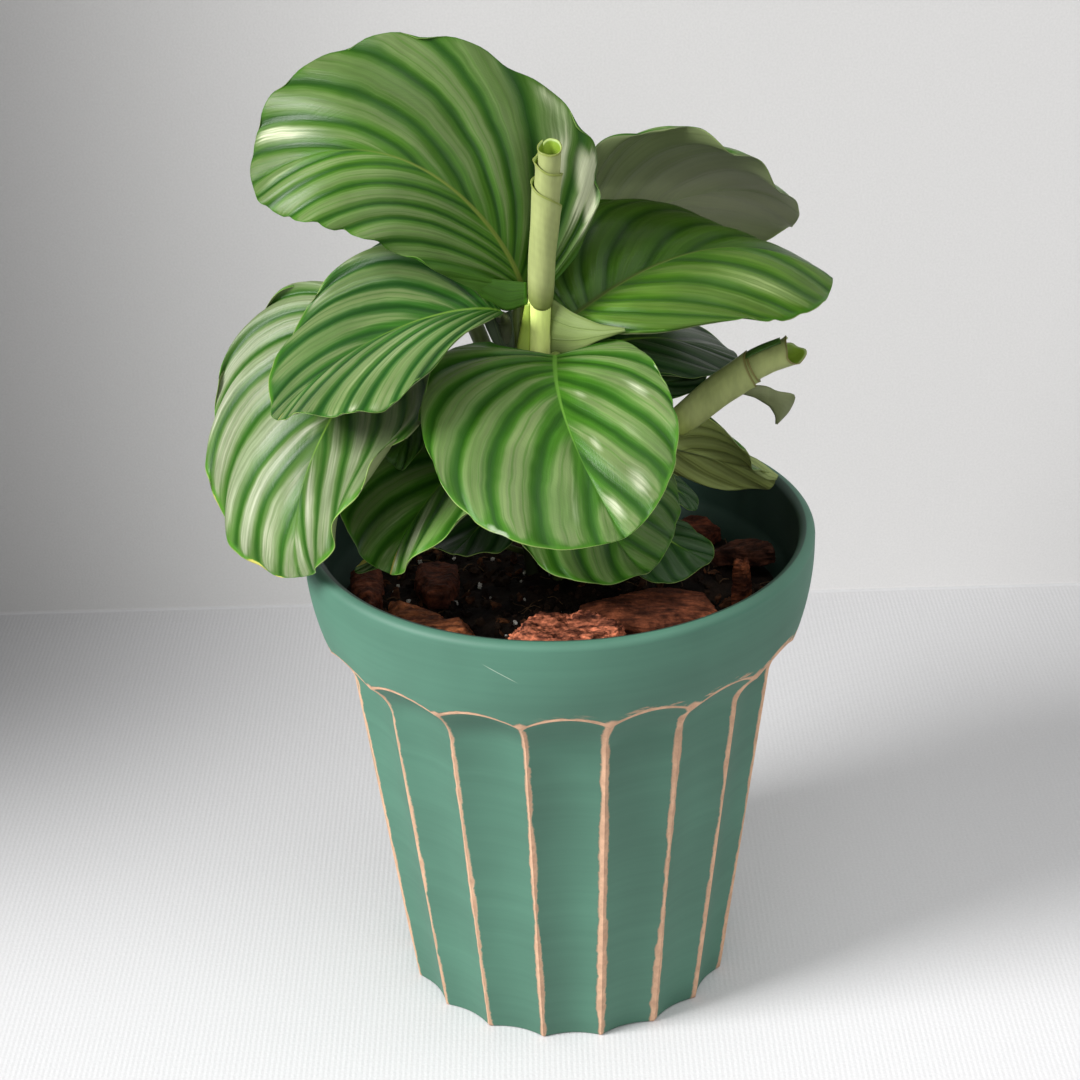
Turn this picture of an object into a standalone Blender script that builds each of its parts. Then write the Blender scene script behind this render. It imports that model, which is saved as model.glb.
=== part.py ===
"""Potted calathea orbifolia.

Lengths in this file are in millimetres and angles in degrees; each object is made in metres, +Z up.
The pot's foot stands on the origin, and the photograph looks along +Y. Each leaf is one solid: a waved
blade laid on its midrib, and its leaf stalk, which runs down into a plain hole in the soil.
"""
import bpy
import bmesh
import numpy as np
from math import cos, pi, radians, sin

METRES = 0.001

# Pot
POT_HEIGHT = 200
POT_RADIUS = 100
COLLAR_FOOT_RADIUS = 95
COLLAR_FOOT_Z = 162
COLLAR_BULGE_Z = 194
ARCH_RISE = 5
COVE_HEIGHT = 15
FLUTE_TOP_RADIUS = 85
FOOT_RADIUS = 67.2
FLUTES = 18
FLUTE_DEPTH = 2.3
STEPS_PER_FLUTE = 4
LIP_ROUND = 1.3
MOUTH_RADIUS = 93.8
SHOULDER_RADIUS = 91.5
SHOULDER_Z = 172
NECK_RADIUS = 80
NECK_Z = 158
FLOOR_RADIUS = 57.5
FLOOR_THICKNESS = 10

# Soil
GAP = 0.3
SOIL_LEVEL = 167
SOIL_SLOPE = 0.045
MOUND_HEIGHT = 4
MOUND_SPREAD = 45
SOIL_COLUMNS = 30
SOIL_RINGS = (12, 26, 40, 54, 68, 79)
SOIL_EDGE_RADIUS = 88
HOLE_CLEARANCE = 0.4
HOLE_DEPTH = 12
HOLE_SIDES = 8

# Leaf blades and stalks
BLADE_THICKNESS = 0.9
KEEL_SHARE = 0.9
BASE_ANGLE = 20
EDGE_SHAPE = 0.97
LOBE_TURN = 0.75
LOBE_WIDTH = 0.6
TIP_WIDTH = 0.45
FLAT_BASE = 14
WAVE_POWER = 2.2
WAVE_OFFSET = 0.37
STALK_SIDES = 6
STALK_RINGS = 7
STALK_SINK = 0.6
STALK_DROP = 0.55

# Rolled leaves
ROLL_SIDES = 12
ROLL_WALL = 0.9
STRIP_THICKNESS = 0.9
STRIP_CURL = 0.15

# Bark chips
BARK_SEAT = 0.5
BARK_SHOULDER = 0.75

# Leaves, by place round the pot. root is where the stalk stands in the soil, lean is how far aside it
# heads from there, midrib has four points from the blade's base to its tip, face is the heading and the
# elevation that the upper side looks to, and half is the width from the midrib to each margin.
LEAVES = [
    dict(name="leaf_top_left", root=(8, 28), lean=(-4, -25), stalk=2.6, reach=30,
         midrib=((-11, -8, 294.5), (-21, -9, 322.5), (-55, -10, 352.5), (-109, 1, 340.5)),
         face=(-84, 37), half=(33, 53), lobe=(-0.07, -0.08), widest=(0.54, 0.31), fold=(3, 10),
         fold_tip=(11, 2), droop=(19, 7), twist=8, wave=(2, 4.5, 0.3), rows=14),
    dict(name="leaf_left", root=(-11, 11), lean=(-9, -20.5), stalk=2.3, reach=6, rise=1.0,
         midrib=((-19, -16.3, 294.7), (-41, -27.3, 298.7), (-72, -34.3, 288.7), (-101, -48.3, 267.7)),
         face=(-100, 91), half=(47, 46), lobe=(-0.12, 0.08), widest=(0.58, 0.47), base=(1.25, 0.8),
         fold=(19, 14), fold_tip=(6, 4), droop=(41, -20), twist=25, wave=(1.5, 4, 0.0), rows=14),
    dict(name="leaf_left_low", root=(0, 27), lean=(-33, -19.5), stalk=3.2, reach=30, rise=1.12, crest=22,
         midrib=((-59, 5, 283), (-79, -13, 262), (-95, -35, 235.5), (-97, -51, 205)), face=(-130, 35),
         half=(50, 59), lobe=(0.05, 0.03), widest=(0.55, 0.47), base=(1.0, 0.72), fold=(-6, 26),
         fold_tip=(19, -2), droop=(-25, 27), twist=7, wave=(2, 5, 0.1), rows=14),
    dict(name="leaf_front_left", root=(-1, 11), lean=(-15, -27), stalk=2.2, reach=15,
         midrib=((-20, -20, 245), (-38, -35, 240), (-54, -49, 226), (-63, -58, 209)), face=(-126, 62),
         half=(29, 43), widest=(0.48, 0.51), fold=(11, 8), fold_tip=(26, 9), droop=(8, 21), twist=17,
         wave=(1.5, 4, 0.3)),
    dict(name="leaf_front", root=(12, 12), lean=(-9, -28), stalk=2.4, reach=10, rise=0.85,
         midrib=((0, -24, 280), (2, -54, 271), (10, -77, 257), (22, -96, 240)), face=(-92, 61),
         half=(39, 52), lobe=(0.1, 0.12), widest=(0.46, 0.47), fold=(16, 15), fold_tip=(19, 18),
         droop=(21, 23), twist=1, wave=(0.8, 4, 0.1), rows=14),
    dict(name="leaf_front_low", root=(18.5, 11.5), lean=(-10.5, -29.5), stalk=2, reach=15,
         midrib=((12, -20, 237), (15, -40, 228), (22, -53, 216), (32, -63, 209)), face=(-74, 63),
         half=(32, 36), lobe=(0.11, 0.1), widest=(0.47, 0.48), fold=(12, 7), fold_tip=(7, 19),
         droop=(27, 24), twist=-20, wave=(1, 4, 0.1)),
    dict(name="leaf_right_low", root=(28, 13), lean=(-2, -10), stalk=1.4, reach=8,
         midrib=((32, 0, 199), (40, -9, 197), (49, -14, 193), (58, -19, 190)), face=(-59, 69),
         half=(14, 23), wave=(0.6, 3, 0.1), rows=7, columns=(0.45, 1.0)),
    dict(name="leaf_back_right", root=(4, 36), lean=(-8, -15), stalk=2.4, reach=20,
         midrib=((11, 56, 294.5), (42.7, 78, 302.5), (74.7, 82, 306.5), (99.7, 71, 299.5)),
         face=(79, 32), half=(46, 51), lobe=(0.1, 0.09), fold=(4, 10), fold_tip=(5, -10),
         droop=(17, 20), twist=18, wave=(2.2, 4, 0.1)),
    dict(name="leaf_right", root=(14, 19.5), lean=(-4, -23.5), stalk=3, reach=10, rise=0.85,
         midrib=((6, -6, 287), (36, 5, 302), (70, 12, 307), (107, 19, 291)), face=(-92, 67),
         half=(54, 38), lobe=(0.1, 0.03), widest=(0.48, 0.54), fold=(27, 18), fold_tip=(-30, 6),
         droop=(41, 30), twist=5, wave=(1.5, 3, 0.6), rows=14),
    dict(name="leaf_right_rear", root=(16, 29), lean=(-2, -13), stalk=2.2, reach=20,
         midrib=((13, 22, 262), (34, 30, 264), (54, 44, 256), (74, 51, 246)), face=(-82, 70),
         half=(34, 22), fold=(8, 10), fold_tip=(1, 7), droop=(25, 29), twist=-8, wave=(1.5, 3, 0.1)),
    dict(name="leaf_over_rim", root=(30, 21), lean=(-1, -6), stalk=1.8, reach=8,
         midrib=((34, 24, 223.5), (53, 27.5, 216.5), (72, 28.5, 209.5), (87, 22.5, 205.5)),
         face=(65, 23), half=(18, 29), fold=(1, 6), fold_tip=(-8, -22), droop=(4, 18), twist=15,
         wave=(1.2, 3, 0.1), rows=8, columns=(0.45, 1.0)),
    dict(name="leaf_left_small", root=(-6.5, 24), lean=(-24.5, -7), stalk=1.4, reach=30, rise=0.9,
         midrib=((-49, -14, 259), (-54, -19, 251), (-58, -28, 246), (-61, -29, 239)), face=(-113, 40),
         half=(8, 14), fold=(5, 5), fold_tip=(5, 3), droop=(10, 11), twist=4, wave=(0.5, 3, 0.1),
         rows=6, columns=(0.5, 1.0)),
    dict(name="leaf_left_ground", root=(5, 10), lean=(-15, -35), stalk=1.6, reach=10,
         midrib=((-16, -22, 229), (-24, -35, 224), (-32, -42, 217), (-40, -53, 214)), face=(-108, 71),
         half=(16, 24), fold_tip=(9, 3), droop=(23, 27), twist=7, wave=(1, 3, 0.1), rows=8,
         columns=(0.45, 1.0)),
    dict(name="leaf_left_scrap", root=(-8, 30), lean=(-14, -20), stalk=1.2, reach=22, crest=10,
         midrib=((-51, -28, 205), (-60, -34, 207), (-68, -40, 206), (-77, -44, 203)), face=(-110, 61),
         half=(4, 5), fold_tip=(5, 4), droop=(15, 15), wave=(0.4, 3, 0.1), rows=6, columns=(0.5, 1.0)),
    dict(name="leaf_rear_low", root=(23, 28), lean=(-3, -18), stalk=1.6, reach=12,
         midrib=((17, 14, 251), (33, 20, 250), (46, 26, 247), (60, 30, 249)), face=(-80, 61),
         half=(14, 9), droop=(15, 14), wave=(0.8, 3, 0.1), rows=7, columns=(0.5, 1.0)),
    dict(name="leaf_right_small", root=(24, 9), lean=(-2, -10), stalk=1.2, reach=8,
         midrib=((32, -6, 222), (40, -8, 220), (48, -10, 215), (53, -12, 209)), face=(-59, 61),
         half=(6, 6), droop=(15, 14), wave=(0.4, 3, 0.1), rows=6, columns=(0.5, 1.0)),
]


# Rolled leaves, with rings of centre, radius and slant from the stalk up to the mouth
UPRIGHT_ROLL = dict(
    root=(5.5, 19.5), stalk=3.6, bore=22,
    rings=[((1, 6, 195), 3.7, 0), ((-2.6, -6.5, 235), 3.8, 0), ((-5, -11.7, 272), 4.2, 0),
           ((-4.7, -12, 294), 4.3, 0),
           ((-4.4, -12, 300), 4.9, 0), ((-3.3, -12, 316.6), 5.1, 0), ((-1.4, -12, 337), 5.8, 4),
           ((-1.4, -12, 337), 5.1, 4), ((-0.6, -12, 347.5), 5.2, 2.5), ((-0.6, -12, 347.5), 4.4, 2.5),
           ((-0.2, -12, 355.6), 4.5, 0.4)])

LEANING_ROLL = dict(
    root=(23, 19), stalk=3.4, bore=20,
    rings=[((24, 14, 190), 3.7, 0), ((29, 8.5, 212), 4.4, 0), ((37, 6, 229), 5.2, 0),
           ((46.8, 6, 238), 5.6, 0), ((63.3, 6, 251.8), 5.6, 0), ((75.5, 6, 260.5), 5.8, 0.5),
           ((75.5, 6, 260.5), 5, 0.5), ((82.3, 6, 263.8), 5, 0), ((89, 6, 266.5), 5.2, 1),
           ((91.7, 6, 268), 6.2, 1.5)])

TORN_STRIP = [(69, 3.5, 252), (74, 3.5, 254.5), (81.5, 3.5, 253.7), (84.6, 3.5, 251.2),
              (92.3, 3.5, 249.8), (91.7, 3.5, 246.5), (89.6, 3.5, 241.7), (85.2, 3.5, 236.5),
              (84.8, 3.5, 240.4), (82.4, 3.5, 244.7), (76.6, 3.5, 249), (72.1, 3.5, 250.5)]


# Bark, by outline on the soil seen from above
BARK = [
    dict(name="bark_left_wall", thickness=9, seed=1,
         outline=[(-84, 12), (-79, 20), (-72, 18), (-70, 2), (-70.5, -12), (-74, -24), (-79, -16),
                  (-83, -2)]),
    dict(name="bark_front_left", thickness=10, seed=2,
         outline=[(-68, -16), (-62, -18), (-48, -29), (-43, -39), (-35, -42), (-31, -55), (-43, -66),
                  (-58, -56), (-67, -36)]),
    dict(name="bark_left", thickness=8, seed=3,
         outline=[(-58, 18), (-49, 20), (-41, 17), (-40, 0), (-44, -14), (-52, -12), (-58, 2)]),
    dict(name="bark_chunk", thickness=16, seed=4, levels=3,
         outline=[(-23, -66), (-21, -55), (-11, -50), (0, -44), (10, -45), (20, -49), (26, -58),
                  (26, -67), (14, -75), (-4, -77), (-14, -74)]),
    dict(name="bark_slab", thickness=7, seed=5,
         outline=[(6, -26), (20, -19), (36, -10), (50, -11), (58, -14), (62, -32), (48, -41), (33, -46),
                  (18, -41), (8, -36)]),
    dict(name="bark_shard", thickness=20, seed=6, levels=2,
         outline=[(66.5, -17.5), (71.5, -19), (74.5, -14), (73, -9), (68.5, -11)]),
    dict(name="bark_right_wall", thickness=7, seed=7, lift=7,
         outline=[(59, 22), (69, 17), (79, 10), (86.5, 9), (86.5, 17), (80, 25), (68, 28)]),
    dict(name="bark_right_rear", thickness=8, seed=8,
         outline=[(49, 54), (55, 60), (63, 55), (68, 47), (61, 40), (51, 44)]),
    dict(name="bark_rear_left", thickness=8, seed=9,
         outline=[(-52, 48), (-44, 58), (-32, 60), (-27, 50), (-40, 41)]),
    dict(name="bark_rear", thickness=7, seed=10,
         outline=[(-6, 62), (8, 70), (22, 66), (18, 56), (2, 54)]),
    dict(name="bark_right", thickness=6, seed=11,
         outline=[(40, 18), (46, 27), (54, 25), (55, 15), (46, 10)]),
]


def remove_everything():
    for item in list(bpy.data.objects):
        bpy.data.objects.remove(item, do_unlink=True)


def material(name, colour, roughness):
    made = bpy.data.materials.new(name)
    made.use_nodes = True
    shader = made.node_tree.nodes["Principled BSDF"]
    shader.inputs["Base Color"].default_value = (*colour, 1.0)
    shader.inputs["Roughness"].default_value = roughness
    shader.inputs["Metallic"].default_value = 0.0
    return made


def add_object(name, verts, faces, look, sharp_angle, place=(0, 0, 0)):
    """A closed mesh whose origin is at place."""
    place = np.array(place, float)
    local = (np.array(verts, float) - place) * METRES
    mesh = bpy.data.meshes.new(name)
    mesh.from_pydata([tuple(v) for v in local], [], faces)
    body = bmesh.new()
    body.from_mesh(mesh)
    bmesh.ops.recalc_face_normals(body, faces=body.faces)
    body.to_mesh(mesh)
    body.free()
    mesh.shade_smooth()
    mesh.set_sharp_from_angle(angle=radians(sharp_angle))
    mesh.materials.append(look)
    made = bpy.data.objects.new(name, mesh)
    made.location = place * METRES
    bpy.context.collection.objects.link(made)
    return made


def unit(v):
    return v / np.maximum(np.linalg.norm(v, axis=-1, keepdims=True), 1e-9)


def heading(azimuth, elevation):
    a, e = radians(azimuth), radians(elevation)
    return np.array([cos(a) * cos(e), sin(a) * cos(e), sin(e)])


def band(low, high):
    """Triangles between two closed rings of points with the same count."""
    faces = []
    for k in range(len(low)):
        n = (k + 1) % len(low)
        faces.append((low[k], low[n], high[n]))
        faces.append((low[k], high[n], high[k]))
    return faces


# Pot, turned with eighteen flutes under a plain collar

def collar_radius(z):
    drop = max(0.0, (COLLAR_BULGE_Z - z) / (COLLAR_BULGE_Z - COLLAR_FOOT_Z))
    return POT_RADIUS - (POT_RADIUS - COLLAR_FOOT_RADIUS) * drop ** 2


def flute_radius(z, phase):
    """phase runs from -1 to 1 across one flute, with ridges at its ends."""
    ridge = FOOT_RADIUS + (FLUTE_TOP_RADIUS - FOOT_RADIUS) * z / (COLLAR_FOOT_Z - COVE_HEIGHT)
    half = pi / FLUTES
    chord = ridge * cos(half) / cos(half * phase)
    return chord - FLUTE_DEPTH * (1 - phase ** 2)


def pot_profile(phase):
    """Radius and height of one column, from the foot, over the lip and down to the floor inside."""
    arch = COLLAR_FOOT_Z + ARCH_RISE * (1 - phase ** 2)
    cove = arch - COVE_HEIGHT
    foot, edge = flute_radius(cove, phase), collar_radius(arch)
    profile = [(flute_radius(0, phase) - LIP_ROUND, 0), (flute_radius(LIP_ROUND, phase), LIP_ROUND)]
    profile += [(flute_radius(cove * k, phase), cove * k) for k in (0.35, 0.7, 1.0)]
    profile += [(foot + (edge - foot) * k ** 2.2, cove + COVE_HEIGHT * k) for k in (0.4, 0.75, 1.0)]
    profile += [(collar_radius(z), z) for z in (174, 184, COLLAR_BULGE_Z)]
    profile += [(POT_RADIUS - LIP_ROUND / 2, POT_HEIGHT - LIP_ROUND)]
    profile += [(POT_RADIUS - LIP_ROUND * 1.7, POT_HEIGHT), (MOUTH_RADIUS + LIP_ROUND, POT_HEIGHT)]
    profile += [(MOUTH_RADIUS + LIP_ROUND / 3, POT_HEIGHT - LIP_ROUND)]
    profile += [(MOUTH_RADIUS, POT_HEIGHT - 3 * LIP_ROUND), (SHOULDER_RADIUS, SHOULDER_Z)]
    return profile + [(NECK_RADIUS, NECK_Z), (FLOOR_RADIUS, FLOOR_THICKNESS)]


def make_pot():
    columns = FLUTES * STEPS_PER_FLUTE
    angles = [2 * pi * i / columns - pi / FLUTES for i in range(columns)]
    phases = [(i % STEPS_PER_FLUTE) / STEPS_PER_FLUTE * 2 - 1 for i in range(columns)]
    profiles = [pot_profile(phase) for phase in phases]
    verts = []
    rings = []
    for row in range(len(profiles[0])):
        rings.append(list(range(len(verts), len(verts) + columns)))
        for a, profile in zip(angles, profiles):
            r, z = profile[row]
            verts.append((r * sin(a), -r * cos(a), z))
    faces = []
    for low, high in zip(rings, rings[1:]):
        faces += band(low, high)
    faces += fan(rings[0], len(verts)) + fan(rings[-1], len(verts) + 1)
    verts += [(0, 0, 0), (0, 0, FLOOR_THICKNESS)]
    return add_object("pot", verts, faces, material("pot_paint", (0.17, 0.36, 0.27), 0.6), 30)


def fan(ring, centre):
    return [(ring[k], ring[(k + 1) % len(ring)], centre) for k in range(len(ring))]


# Soil, mounded round the crown and a little higher at the front

def soil_height(x, y):
    return SOIL_LEVEL - SOIL_SLOPE * y + MOUND_HEIGHT * np.exp(-(x ** 2 + y ** 2) / MOUND_SPREAD ** 2)


def make_soil(stalks):
    wall_gap = GAP * 1.5
    angles = [2 * pi * i / SOIL_COLUMNS for i in range(SOIL_COLUMNS)]
    verts = []
    rings = []

    def keep(points):
        rings.append(list(range(len(verts), len(verts) + SOIL_COLUMNS)))
        verts.extend(points)

    for r in SOIL_RINGS:
        keep([(r * cos(a), r * sin(a), soil_height(r * cos(a), r * sin(a))) for a in angles])
    edge = []
    for a in angles:
        z = soil_height(SOIL_EDGE_RADIUS * cos(a), SOIL_EDGE_RADIUS * sin(a))
        share = (z - NECK_Z) / (SHOULDER_Z - NECK_Z)
        r = NECK_RADIUS + (SHOULDER_RADIUS - NECK_RADIUS) * share - wall_gap
        edge.append((r * cos(a), r * sin(a), z))
    keep(edge)
    for r, z in ((NECK_RADIUS, NECK_Z), (FLOOR_RADIUS, FLOOR_THICKNESS + GAP)):
        keep([((r - wall_gap) * cos(a), (r - wall_gap) * sin(a), z) for a in angles])
    faces = []
    for low, high in zip(rings, rings[1:]):
        faces += band(low, high)
    faces += fan(rings[0], len(verts)) + fan(rings[-1], len(verts) + 1)
    verts += [(0, 0, soil_height(0, 0)), (0, 0, FLOOR_THICKNESS + GAP)]
    soil = add_object("soil", verts, faces, material("peat", (0.02, 0.014, 0.01), 0.95), 40)
    cut = soil.modifiers.new("stalk_holes", "BOOLEAN")
    cut.operation = "DIFFERENCE"
    cut.object = make_hole_cutter(stalks)
    return soil


def make_hole_cutter(stalks):
    verts, faces = [], []
    for (x, y), radius in stalks:
        level = float(soil_height(x, y))
        reach = (radius + HOLE_CLEARANCE) / cos(pi / HOLE_SIDES)
        ends = []
        for z in (level - HOLE_DEPTH, level + HOLE_DEPTH):
            ends.append(list(range(len(verts), len(verts) + HOLE_SIDES)))
            for k in range(HOLE_SIDES):
                a = 2 * pi * k / HOLE_SIDES
                verts.append((x + reach * cos(a), y + reach * sin(a), z))
        faces += band(*ends) + [tuple(ends[0]), tuple(ends[1])]
    cutter = add_object("stalk_hole_cutter", verts, faces, material("cutter", (1, 0, 0), 0.5), 30)
    cutter.hide_render = True
    cutter.display_type = "WIRE"
    return cutter


# Leaf blade, a surface laid on its midrib

def through(points, t):
    """A cubic curve through four points at 0, 1/3, 2/3 and 1."""
    p = np.array(points, float)
    t = np.asarray(t, float)[:, None]
    a, b, c, d = t, t - 1 / 3, t - 2 / 3, t - 1
    ends = a * b * c * p[3] - b * c * d * p[0]
    return 4.5 * ends + 13.5 * (a * c * d * p[1] - a * b * d * p[2])


class Midrib:
    """Places, directions and upward normals along a leaf's midrib, by share of its length."""

    def __init__(self, points, face, count=60):
        self.place = through(points, np.linspace(0, 1, count))
        steps = np.linalg.norm(np.diff(self.place, axis=0), axis=1)
        self.length = steps.sum()
        self.share = np.concatenate([[0], np.cumsum(steps)]) / self.length
        self.along = unit(np.gradient(self.place, self.share, axis=0))
        self.up = np.zeros_like(self.place)
        middle = int(np.searchsorted(self.share, 0.5))
        up = heading(*face)
        self.up[middle] = unit(up - (up @ self.along[middle]) * self.along[middle])
        for step, stop in ((1, count), (-1, -1)):
            for i in range(middle + step, stop, step):
                before = self.up[i - step]
                self.up[i] = unit(before - (before @ self.along[i]) * self.along[i])

    def read(self, values, u):
        return np.stack([np.interp(u, self.share, values[:, k]) for k in range(3)], -1)

    def at(self, u):
        inside = np.clip(u, 0, 1)
        along = unit(self.read(self.along, inside))
        place = self.read(self.place, inside) + along * ((u - inside) * self.length)[..., None]
        return place, along, unit(self.read(self.up, inside))


def blade_outline(turn, lobe, widest, tip, base):
    """Half of the outline, from the stalk at turn 0 to the tip at pi: shares along and across."""
    along = 0.5 * (1 - np.cos(turn)) + (widest - 0.5) * np.sin(turn) ** 2
    along = along - lobe * np.exp(-((turn - LOBE_TURN) / LOBE_WIDTH) ** 2)
    power = base + (EDGE_SHAPE - base) * turn / pi
    across = np.sin(np.clip(turn, 1e-6, pi - 1e-6)) ** power
    return along, across * (1 - tip * np.exp(-((pi - turn) / TIP_WIDTH) ** 2))


def row_start(t):
    """Share of the midrib's length at which a row of the mesh leaves it."""
    return 0.6 * t + 0.4 * t ** 2


def blade_flat(leaf, k, t, s):
    """t from the base edge to the tip and s from midrib to margin, to shares along and across."""
    start = row_start(t)
    turn = radians(BASE_ANGLE) + (pi - radians(BASE_ANGLE)) * t ** 0.92
    lobe = leaf["lobe"][k]
    along, across = blade_outline(turn, lobe, leaf["widest"][k], leaf["tip"], leaf["base"][k])
    straight = np.maximum(t ** 2, np.clip(-FLAT_BASE * lobe, 0, 1))
    sweep = straight * np.sin(s * pi / 2) + (1 - straight) * (1 - np.cos(s * pi / 2))
    return start + (along - start) * sweep, across * np.sin(s * pi / 2)


def blade_point(leaf, side, t, s):
    """Place on the upper face, and the blade's direction upwards there, without its waves."""
    k = 0 if side > 0 else 1
    half = leaf["half"][k]
    u, v = blade_flat(leaf, k, t, s)
    place, along, up = leaf["line"].at(u)
    across = np.cross(up, along)
    twist = np.radians(leaf["twist"]) * (u - 0.5)
    c, d = np.cos(twist)[..., None], np.sin(twist)[..., None]
    up, across = up * c - across * d, across * c + up * d
    inside = np.clip(u, 0, 1)
    ease = inside ** 2 * (3 - 2 * inside)
    fold = np.radians(leaf["fold"][k] + (leaf["fold_tip"][k] - leaf["fold"][k]) * ease)
    curve = radians(leaf["droop"][k]) / half
    turned = fold - curve * v * half
    out = (np.sin(fold) - np.sin(turned)) / curve
    rise = (np.cos(turned) - np.cos(fold)) / curve
    normal = up * np.cos(turned)[..., None] - side * across * np.sin(turned)[..., None]
    height, count, start = leaf["wave"]
    phase = count * t + start + (WAVE_OFFSET if side < 0 else 0)
    fade = np.clip((1 - t) * 6, 0, 1) * np.clip(t * 7, 0, 1)
    wave = height * s ** WAVE_POWER * np.sin(2 * pi * phase) * fade
    return place + side * across * out[..., None] + up * rise[..., None] + normal * wave[..., None], normal


def make_leaf(name, look, root, midrib, face, half, stalk=2.2, lobe=(0.1, 0.1), widest=(0.5, 0.5),
              tip=0.12, base=(0.72, 0.72), fold=(8, 8), fold_tip=(8, 8), droop=(25, 25), twist=0,
              wave=(1, 3, 0.1), rows=12, columns=(0.36, 0.68, 1.0), rise=0.45, reach=30, crest=0,
              lean=(0, 0)):
    """Pairs of values are for the left half and the right half, seen from the stalk."""
    line = Midrib(midrib, face)
    leaf = dict(half=half, lobe=lobe, widest=widest, tip=tip, base=base, fold=fold, fold_tip=fold_tip,
                droop=droop, twist=twist, wave=wave, line=line)
    t = np.linspace(0, 1, rows + 1)[:-1]
    tops, unders, verts = {}, {}, []

    def keep(points):
        verts.extend(points)
        return list(range(len(verts) - len(points), len(verts)))

    centre, _, up = line.at(row_start(t))
    keel = BLADE_THICKNESS + stalk * KEEL_SHARE * (1 - row_start(t)) ** 1.3
    tops[0], unders[0] = keep(centre), keep(centre - up * keel[:, None])
    for side in (1, -1):
        k = 0 if side > 0 else 1
        edge = blade_outline(radians(BASE_ANGLE), lobe[k], widest[k], tip, base[k])[1] * half[k]
        first = 2 / pi * np.arcsin(min(0.5, stalk * KEEL_SHARE / edge))
        for c, share in enumerate((0.0, *columns), 1):
            points, normals = blade_point(leaf, side, t, np.full_like(t, first + (1 - first) * share))
            tops[side * c] = keep(points)
            unders[side * c] = keep(points - normals * BLADE_THICKNESS)
    end, _, end_up = line.at(np.array([1.0]))
    tip_top, tip_under = keep(end)[0], keep(end - end_up * BLADE_THICKNESS)[0]

    faces = blade_faces(tops, unders, tip_top, tip_under, len(columns) + 1, rows)
    collar = [tops[1][0], tops[0][0], tops[-1][0], unders[-1][0], unders[0][0], unders[1][0]]
    loops = [collar] + [keep(ring) for ring in stalk_rings(root, line, stalk, rise, reach, crest, lean)]
    for above, below in zip(loops, loops[1:]):
        faces += band(above, below)
    faces.append(tuple(loops[-1]))
    return add_object(name, verts, faces, look, 60, (*root, float(soil_height(*root))))


def blade_faces(tops, unders, tip_top, tip_under, count, rows):
    """Both faces of the blade, split alike, and its margin. The collar for the stalk stays open."""
    faces = []
    for side in (1, -1):
        for c in range(count):
            a, b = side * c, side * (c + 1)
            for sheet, end in ((tops, tip_top), (unders, tip_under)):
                for j in range(rows - 1):
                    faces.append((sheet[a][j], sheet[a][j + 1], sheet[b][j + 1]))
                    faces.append((sheet[a][j], sheet[b][j + 1], sheet[b][j]))
                faces.append((sheet[a][-1], end, sheet[b][-1]))
            if c > 0:
                faces.append((tops[a][0], tops[b][0], unders[b][0]))
                faces.append((tops[a][0], unders[b][0], unders[a][0]))
        top, under = tops[side * count], unders[side * count]
        for j in range(rows - 1):
            faces.append((top[j], top[j + 1], under[j + 1]))
            faces.append((top[j], under[j + 1], under[j]))
        faces.append((top[-1], tip_top, tip_under))
        faces.append((top[-1], tip_under, under[-1]))
    return faces


def stalk_rings(root, line, radius, rise, reach, crest, lean):
    """Rings from the blade's base down to the root. rise and lean are how far up and how far aside the
    stalk heads from its root."""
    level = float(soil_height(*root))
    top = np.array([*root, level + 1])
    foot = np.array([*root, level - HOLE_DEPTH + STALK_SINK])
    joint = line.place[0] - line.up[0] * (radius * STALK_DROP + BLADE_THICKNESS)
    before = joint - line.along[0] * reach + np.array([0, 0, crest])
    above = top + np.array([*lean, rise * (joint[2] - top[2])])
    t = np.linspace(1, 0, STALK_RINGS + 1)[:, None]
    t[0] = 1 - min(0.06, 4 / np.linalg.norm(joint - top))
    ends = joint * t ** 3 + top * (1 - t) ** 3
    curve = ends + 3 * t * (1 - t) * (before * t + above * (1 - t))
    path = np.vstack([curve, foot])
    along = unit(np.gradient(path, axis=0))
    along[0] = -line.along[0]
    along[-2:] = (0, 0, -1)
    up = line.up[0]
    rings = []
    for place, direction in zip(path, along):
        up = unit(up - (up @ direction) * direction)
        across = np.cross(up, -direction)
        angles = [pi / 6 + k * 2 * pi / STALK_SIDES for k in range(STALK_SIDES)]
        rings.append(np.array([place + radius * (across * cos(a) + up * sin(a)) for a in angles]))
    return rings


# Rolled leaves, still furled round themselves in layers that end one above the other

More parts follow.
